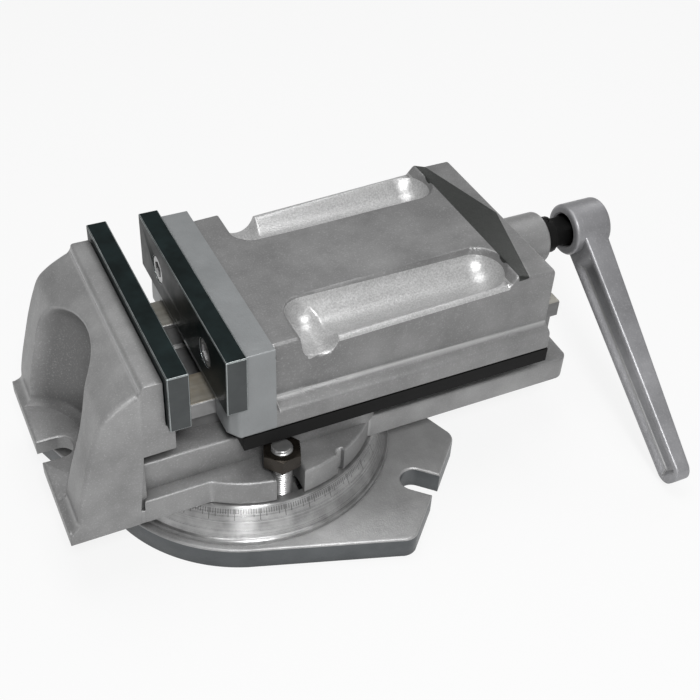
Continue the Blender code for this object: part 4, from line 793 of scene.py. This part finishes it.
def relief(tree, shader, height, strength, distance):
    node = tree.nodes.new("ShaderNodeBump")
    node.inputs["Strength"].default_value = strength
    node.inputs["Distance"].default_value = distance
    tree.links.new(height, node.inputs["Height"])
    tree.links.new(node.outputs["Normal"], shader.inputs["Normal"])


def parts_of(tree, where):
    node = tree.nodes.new("ShaderNodeSeparateXYZ")
    tree.links.new(where, node.inputs[0])
    return node.outputs[0], node.outputs[1], node.outputs[2]


def cast_finish(name, shade, worn, ramp_mask=False, coarse=1.0, rim_below=None, reach=0.012):
    """Silver-grey cast paint: mottled, finely pitted, and rubbed bright along its round edges. Ambient occlusion
    darkens its creases and hollows as painted shade.

    The moving jaw's mask picks out its ramp, painted near black as shade, its sandy troughs,
    lightened partly as painted highlight, and its ground strip; the base's side is darker below a rim height.
    """
    finish, tree, shader, where = new_finish(name)
    spot = where.outputs["Object"]
    mottle = noise(tree, spot, 26.0, 5.0, 0.6)
    tone = ramp(tree, mottle, 0.30, 0.70, tuple(c * 0.80 for c in shade), tuple(c * 1.15 for c in shade))
    smudge = ramp(tree, noise(tree, spot, 9.0, 6.0, 0.62), 0.40, 0.62, (0.82,) * 3, (1.06,) * 3)
    tone = multiplied(tree, tone, smudge)
    # Painted shade: the colour falls towards half its shade the deeper a point lies in a hollow.
    depth = tree.nodes.new("ShaderNodeAttribute")
    depth.attribute_name = "sunk"
    tone = blended(tree, depth.outputs["Fac"], tone, tuple(c * 0.50 for c in shade))
    speck = noise(tree, spot, 900.0 * coarse, 3.0, 0.6)
    bright = maths(tree, "MULTIPLY", maths(tree, "SUBTRACT", speck, 0.54, True), 1.0, True)
    tone = blended(tree, bright, tone, worn)
    # Below the rim height the base's side takes a darker tone.
    if rim_below is not None:
        x, y, z = parts_of(tree, spot)
        edge = ramp(tree, mottle, 0.3, 0.7, (0.066, 0.072, 0.076), (0.105, 0.112, 0.117))
        tone = blended(tree, maths(tree, "LESS_THAN", z, rim_below), tone, edge)
    wear = tree.nodes.new("ShaderNodeAttribute")
    wear.attribute_name = "wear"
    rubbed = maths(tree, "MULTIPLY", wear.outputs["Fac"], maths(tree, "MULTIPLY_ADD", mottle, 1.1), True)
    rubbed.node.inputs[1].default_value = 1.0
    tone = blended(tree, rubbed, tone, worn)
    # Painted shade: ambient occlusion within the reach darkens the colour in creases, corners and hollows.
    shaded = tree.nodes.new("ShaderNodeAmbientOcclusion")
    shaded.samples = 6
    shaded.inputs["Distance"].default_value = reach
    painted_crease_shade = ramp(tree, shaded.outputs["AO"], 0.20, 0.80, (0.42,) * 3, (1.0,) * 3)
    hollow = None
    if ramp_mask:
        x, y, z = parts_of(tree, spot)
        side = maths(tree, "ABSOLUTE", y)
        faced = tree.nodes.new("ShaderNodeNewGeometry")
        upward = maths(tree, "GREATER_THAN", parts_of(tree, faced.outputs["True Normal"])[2], 0.22)
        inner = maths(tree, "LESS_THAN", side, 0.0683)
        hollow = maths(tree, "MAXIMUM", upward, inner)
        for kind, place, bound in (
            ("LESS_THAN", z, 0.1536),
            ("GREATER_THAN", z, 0.1368),
            ("GREATER_THAN", side, 0.0312),
            ("GREATER_THAN", x, 0.0110),
            ("LESS_THAN", x, 0.1600),
        ):
            hollow = maths(tree, "MULTIPLY", hollow, maths(tree, kind, place, bound))
        # The troughs and the outer rim's top get a lighter sandy tone: partly a rougher cast finish, partly painted
        # highlight.
        sand_and_painted_highlight = ramp(tree, speck, 0.35, 0.65, tuple(c * 1.5 for c in shade), (0.52, 0.52, 0.52))
        tone = blended(tree, maths(tree, "MULTIPLY", hollow, 0.9), tone, sand_and_painted_highlight)
        # Painted shade: the tail ramp, between its top line and its V-shaped foot, is coloured near black.
        behind = maths(tree, "GREATER_THAN", x, 0.1596)
        foot = maths(tree, "MULTIPLY_ADD", maths(tree, "ABSOLUTE", y), -0.257)
        foot.node.inputs[2].default_value = 0.1858
        before = maths(tree, "LESS_THAN", x, foot)
        raised = maths(tree, "GREATER_THAN", z, 0.1549)
        ramp_painted_shade = maths(tree, "MULTIPLY", maths(tree, "MULTIPLY", behind, before), raised)
        tone = blended(tree, ramp_painted_shade, tone, (0.030, 0.032, 0.030))
        ground = maths(tree, "LESS_THAN", x, STRIP_REAR + 0.0001)
        steel = ramp(tree, mottle, 0.3, 0.7, (0.215, 0.224, 0.228), (0.255, 0.265, 0.270))
        tone = blended(tree, ground, tone, steel)
    tree.links.new(multiplied(tree, tone, painted_crease_shade), shader.inputs["Base Color"])
    tree.links.new(maths(tree, "MULTIPLY_ADD", rubbed, 0.4), shader.inputs["Metallic"])
    shader.inputs["Metallic"].links[0].from_node.inputs[2].default_value = 0.50
    gloss = maths(tree, "MULTIPLY_ADD", noise(tree, spot, 60.0, 3.0), 0.22)
    gloss.node.inputs[2].default_value = 0.32
    gloss = maths(tree, "SUBTRACT", gloss, maths(tree, "MULTIPLY", rubbed, 0.14))
    if hollow is not None:
        gloss = maths(tree, "SUBTRACT", gloss, maths(tree, "MULTIPLY", hollow, 0.06))
    tree.links.new(gloss, shader.inputs["Roughness"])
    grain = maths(tree, "ADD", speck, maths(tree, "MULTIPLY", noise(tree, spot, 150.0, 4.0), 1.6))
    relief(tree, shader, grain, 0.32, 0.0004)
    return finish


def ground_finish(
    name, shade, dark, scale=(4.0, 260.0, 260.0), metal=0.85, rough=(0.26, 0.4), top=None
):
    """Ground steel: fine lines along one way, from a noise stretched by a Mapping node.

    With a top, only what lies above that height is ground, and the rest stays as cast.
    """
    finish, tree, shader, where = new_finish(name)
    stretch = tree.nodes.new("ShaderNodeMapping")
    stretch.inputs["Scale"].default_value = scale
    tree.links.new(where.outputs["Object"], stretch.inputs["Vector"])
    lines = noise(tree, stretch.outputs[0], 1.0, 3.0, 0.6)
    stain = noise(tree, where.outputs["Object"], 34.0, 4.0, 0.6)
    tone = ramp(tree, lines, 0.3, 0.7, tuple(c * 0.8 for c in shade), tuple(c * 1.15 for c in shade))
    tone = blended(tree, maths(tree, "MULTIPLY", maths(tree, "SUBTRACT", stain, 0.45, True), 2.4, True), tone, dark)
    if top is not None:
        x, y, z = parts_of(tree, where.outputs["Object"])
        below = maths(tree, "LESS_THAN", z, top)
        cast = ramp(tree, stain, 0.3, 0.7, (0.15, 0.15, 0.15), (0.23, 0.23, 0.23))
        tone = blended(tree, below, tone, cast)
    tree.links.new(tone, shader.inputs["Base Color"])
    shader.inputs["Metallic"].default_value = metal
    gloss = ramp(tree, lines, 0.3, 0.7, (rough[0],) * 3, (rough[1],) * 3)
    tree.links.new(gloss, shader.inputs["Roughness"])
    relief(tree, shader, lines, 0.12, 0.0002)
    return finish


def dark_plate_finish(name, shade, sheen, rough, bare_ends=False):
    """Hardened black plate: near black with a faint blue-green cast, light scuffs and grey ends."""
    finish, tree, shader, where = new_finish(name)
    spot = where.outputs["Object"]
    cloud = noise(tree, spot, 48.0, 5.0, 0.65)
    tone = ramp(tree, cloud, 0.36, 0.72, shade, sheen)
    scratch = tree.nodes.new("ShaderNodeMapping")
    scratch.inputs["Scale"].default_value = (500.0, 9.0, 500.0)
    tree.links.new(spot, scratch.inputs["Vector"])
    lines = noise(tree, scratch.outputs[0], 1.0, 2.0)
    tone = blended(tree, maths(tree, "MULTIPLY", maths(tree, "SUBTRACT", lines, 0.62, True), 1.2, True), tone, sheen)
    if bare_ends:
        x, y, z = parts_of(tree, spot)
        end = maths(tree, "GREATER_THAN", maths(tree, "ABSOLUTE", y), 0.0797)
        grey = ramp(tree, cloud, 0.3, 0.7, (0.045, 0.049, 0.050), (0.064, 0.069, 0.070))
        tone = blended(tree, end, tone, grey)
    tree.links.new(tone, shader.inputs["Base Color"])
    shader.inputs["Metallic"].default_value = 0.15
    shader.inputs["Specular IOR Level"].default_value = 0.16
    gloss = ramp(tree, cloud, 0.3, 0.75, (rough,) * 3, (rough + 0.16,) * 3)
    tree.links.new(gloss, shader.inputs["Roughness"])
    relief(tree, shader, noise(tree, spot, 900.0, 2.0), 0.08, 0.0002)
    return finish


def ring_finish(name):
    """Turned bright wall with degree marks: short each degree, longer each fifth and tenth."""
    finish, tree, shader, where = new_finish(name)
    spot = where.outputs["Object"]
    x, y, z = parts_of(tree, spot)
    degrees = maths(tree, "MULTIPLY", maths(tree, "ARCTAN2", y, x), 180 / math.pi)
    turned_lines = tree.nodes.new("ShaderNodeMapping")
    turned_lines.inputs["Scale"].default_value = (3.0, 3.0, 2600.0)
    tree.links.new(spot, turned_lines.inputs["Vector"])
    lines = noise(tree, turned_lines.outputs[0], 1.0, 2.0)
    blotch = noise(tree, spot, 90.0, 4.0)
    tone = ramp(tree, maths(tree, "MULTIPLY", maths(tree, "ADD", lines, blotch), 0.5), 0.32, 0.66, (0.20, 0.20, 0.20), (0.50, 0.50, 0.50))
    marks = None
    for spacing, low, width in ((1.0, 0.0372, 0.16), (5.0, 0.0352, 0.036), (10.0, 0.0330, 0.02)):
        share = maths(tree, "FRACT", maths(tree, "MULTIPLY", maths(tree, "ADD", degrees, 360.0), 1 / spacing))
        near = maths(tree, "LESS_THAN", maths(tree, "ABSOLUTE", maths(tree, "SUBTRACT", share, 0.5)), width)
        tick = maths(tree, "MULTIPLY", near, maths(tree, "GREATER_THAN", z, low))
        marks = tick if marks is None else maths(tree, "MAXIMUM", marks, tick)
    marks = maths(tree, "MULTIPLY", marks, maths(tree, "LESS_THAN", z, 0.0405))
    tone = blended(tree, maths(tree, "MULTIPLY", marks, 0.6), tone, (0.05, 0.05, 0.05))
    tree.links.new(tone, shader.inputs["Base Color"])
    around = tree.nodes.new("ShaderNodeTangent")
    around.direction_type = "RADIAL"
    around.axis = "Z"
    tree.links.new(around.outputs[0], shader.inputs["Tangent"])
    shader.inputs["Anisotropic"].default_value = 0.8
    shader.inputs["Anisotropic Rotation"].default_value = 0.25
    shader.inputs["Metallic"].default_value = 0.85
    gloss = ramp(tree, lines, 0.3, 0.7, (0.26,) * 3, (0.38,) * 3)
    tree.links.new(gloss, shader.inputs["Roughness"])
    height = maths(tree, "SUBTRACT", lines, maths(tree, "MULTIPLY", marks, 2.0))
    relief(tree, shader, height, 0.25, 0.0003)
    return finish


def plain_floor_finish():
    """Pale floor: to the camera it is mostly its own white, and it keeps a faint shadow."""
    finish, tree, shader, where = new_finish("pale_floor")
    shader.inputs["Base Color"].default_value = (0.55, 0.55, 0.55, 1)
    shader.inputs["Roughness"].default_value = 0.8
    shader.inputs["Specular IOR Level"].default_value = 0.2
    light = tree.nodes.new("ShaderNodeEmission")
    light.inputs["Color"].default_value = (1, 1, 1, 1)
    seen = tree.nodes.new("ShaderNodeLightPath")
    mix = tree.nodes.new("ShaderNodeMixShader")
    out = tree.nodes["Material Output"]
    rays = maths(tree, "MAXIMUM", seen.outputs["Is Camera Ray"], seen.outputs["Is Glossy Ray"])
    share = maths(tree, "MULTIPLY", rays, 0.86)
    tree.links.new(share, mix.inputs[0])
    tree.links.new(shader.outputs[0], mix.inputs[1])
    tree.links.new(light.outputs[0], mix.inputs[2])
    tree.links.new(mix.outputs[0], out.inputs["Surface"])
    return finish


CASTING = cast_finish("silver_cast_paint", (0.255, 0.255, 0.255), (0.62, 0.62, 0.62))
# The fixed jaw's long occlusion reach paints shade deep into the scoop at its back.
FIXED = cast_finish("fixed_jaw_paint", (0.275, 0.275, 0.275), (0.68, 0.68, 0.68), reach=0.070)
JAW_CASTING = cast_finish("jaw_cast_paint", (0.235, 0.235, 0.235), (0.62, 0.62, 0.62), True)
BASE_CASTING = cast_finish("base_cast_paint", (0.33, 0.33, 0.33), (0.62, 0.62, 0.62), rim_below=0.0160)
CRANK = cast_finish("crank_silver", (0.27, 0.27, 0.28), (0.6, 0.6, 0.6), False, 0.8)
PLATES = dark_plate_finish("black_jaw_plate", (0.002, 0.005, 0.005), (0.006, 0.013, 0.0135), 0.36, True)
BLACK = dark_plate_finish("blackened_steel", (0.0022, 0.0022, 0.0022), (0.005, 0.005, 0.005), 0.46)
NUTS = ground_finish("dark_bronze_nut", (0.040, 0.034, 0.028), (0.016, 0.013, 0.011), (90.0,) * 3, 0.8, (0.24, 0.36))
RAILS = ground_finish("ground_rail", (0.33, 0.32, 0.29), (0.2, 0.16, 0.1), metal=0.6, top=0.1083)
STEEL = ground_finish("bright_steel", (0.5, 0.5, 0.5), (0.3, 0.3, 0.3), (90.0, 90.0, 90.0))
BRONZE = ground_finish("screw_nut_bronze", (0.42, 0.27, 0.12), (0.2, 0.12, 0.06), (60.0, 60.0, 60.0))
RING = ring_finish("turned_ring")
WORN_EDGE = ground_finish("worn_bright_edge", (0.42, 0.45, 0.45), (0.10, 0.12, 0.12), (60.0,) * 3)


def dressed(piece, finish, body, slot, *replaced):
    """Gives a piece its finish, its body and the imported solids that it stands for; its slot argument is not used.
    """
    piece.data.materials.clear()
    piece.data.materials.append(finish)
    if "edge_finish" in piece:
        piece.data.materials.append(bpy.data.materials[piece["edge_finish"]])
    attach(piece, body)
    if replaced:
        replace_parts(piece, *replaced)
    return piece


body_of = {
    node: body
    for body, names in frame["record"]["behaviour"]["bodies"].items()
    for node in names
}

dressed(base_plate_casting(), BASE_CASTING, "base", "casting", "swivel_base")
dressed(graduated_ring(), RING, "base", "casting")
dressed(softened("pivot_pin"), STEEL, "base", "ground_steel", "pivot_pin")

dressed(fixed_jaw_casting(), FIXED, "vise", "casting", "vise_body")
dressed(slotted_foot(), FIXED, "vise", "casting")
dressed(swivel_flange(), CASTING, "vise", "casting")
dressed(flank_blocks(), CASTING, "vise", "casting")
dressed(screw_rails(), RAILS, "vise", "casting")

dressed(moving_jaw_casting(), JAW_CASTING, "jaw", "casting", "moving_jaw")
dressed(screw_boss(), CASTING, "jaw", "casting")

for side, turn in (("front", -93.3), ("back", 86.7)):
    place = (BOLT_CIRCLE * math.cos(math.radians(turn)), BOLT_CIRCLE * math.sin(math.radians(turn)))
    dressed(t_bolt(side, place), STEEL, "vise", "ground_steel", "t_bolt_" + side)
    dressed(softened("swivel_nut_" + side, 0.0006), NUTS, "nut_" + side, "dark_steel", "swivel_nut_" + side)

dressed(lead_screw_turning(), BLACK, "screw", "ground_steel", "lead_screw")
crank = tidy(joined("crank", [crank_lever(), crank_hub()]), 40.0)
dressed(crank, CRANK, "crank", "crank_finish", "crank_handle")

FINISH_OF = {
    "fixed_jaw_plate": (PLATES, "jaw_plate"),
    "moving_jaw_plate": (PLATES, "jaw_plate"),
    "screw_nut": (BRONZE, "bronze"),
    "thrust_washer": (BRONZE, "bronze"),
    "retaining_collar": (BLACK, "black_steel"),
    "collar_set_screw": (BLACK, "black_steel"),
    "keeper_plate_front": (BLACK, "black_steel"),
    "keeper_plate_back": (BLACK, "black_steel"),
}
standing = {n for piece in bpy.data.objects for n in str(piece.get("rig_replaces", "")).split(",")}
for node in nodes:
    if node in FINISH_OF:
        finish, slot = FINISH_OF[node]
    elif "screw_" in node or "bolt_near" in node:
        finish, slot = BLACK, "black_steel"
        if "plate_screw" in node:
            finish, slot = STEEL, "dark_steel"
    else:
        continue
    if node in ("lead_screw",):
        continue
    edge = WORN_EDGE if slot == "jaw_plate" else None
    dressed(softened(node, 0.0004, edge=edge), finish, body_of[node], slot, node)


# Floor, light and camera

floor_mesh = bpy.data.meshes.new("floor")
floor_mesh.from_pydata([(-4, -4, 0), (4, -4, 0), (4, 4, 0), (-4, 4, 0)], [], [(0, 1, 2, 3)])
floor = bpy.data.objects.new("floor", floor_mesh)
bpy.context.scene.collection.objects.link(floor)
floor_mesh.materials.append(plain_floor_finish())


def soft_lamp(name, place, aim, size, power):
    """A square area lamp at a place, looking at its aim."""
    lamp = bpy.data.lights.new(name, "AREA")
    lamp.size = size
    lamp.energy = power
    holder = bpy.data.objects.new(name, lamp)
    holder.location = place
    look = Vector(aim) - Vector(place)
    holder.rotation_euler = look.to_track_quat("-Z", "Y").to_euler()
    bpy.context.scene.collection.objects.link(holder)


soft_lamp("key_lamp", (-0.25, -1.05, 1.35), (0.05, 0, 0.06), 0.30, 22.0)
soft_lamp("low_lamp", (-0.50, -1.22, 0.24), (-0.02, 0, 0.03), 0.12, 1.6)
soft_lamp("front_lamp", (0.45, -1.35, 0.70), (0.05, 0, 0.08), 0.40, 0.8)
soft_lamp("top_lamp", (0.0, 0.20, 1.50), (0.05, 0, 0.1), 0.8, 10.5)
soft_lamp("tail_lamp", (1.2, 0.5, 0.8), (0.05, 0, 0.1), 0.5, 2.5)

world = bpy.data.worlds.new("studio")
world.use_nodes = True
bpy.context.scene.world = world
back = world.node_tree.nodes["Background"]
path = world.node_tree.nodes.new("ShaderNodeLightPath")
shown = maths(world.node_tree, "MAXIMUM", path.outputs["Is Camera Ray"], path.outputs["Is Transmission Ray"])
level = maths(world.node_tree, "MULTIPLY_ADD", shown, 0.72)
level.node.inputs[2].default_value = 0.28
back.inputs["Color"].default_value = (1, 1, 1, 1)
world.node_tree.links.new(level, back.inputs["Strength"])

camera_data = bpy.data.cameras.new("camera")
camera_data.sensor_width = 36.0
camera_data.lens = 58.12
camera = bpy.data.objects.new("camera", camera_data)
right, up, away = (0.9006, -0.4318, 0.0488), (0.2503, 0.6071, 0.7541), (-0.3553, -0.6670, 0.6549)
camera.matrix_world = Matrix.Translation((-0.2004, -0.5265, 0.5837)) @ Matrix(
    [[right[i], up[i], away[i]] for i in range(3)]
).to_4x4()
bpy.context.scene.collection.objects.link(camera)
bpy.context.scene.camera = camera
bpy.context.scene.view_settings.view_transform = "Standard"
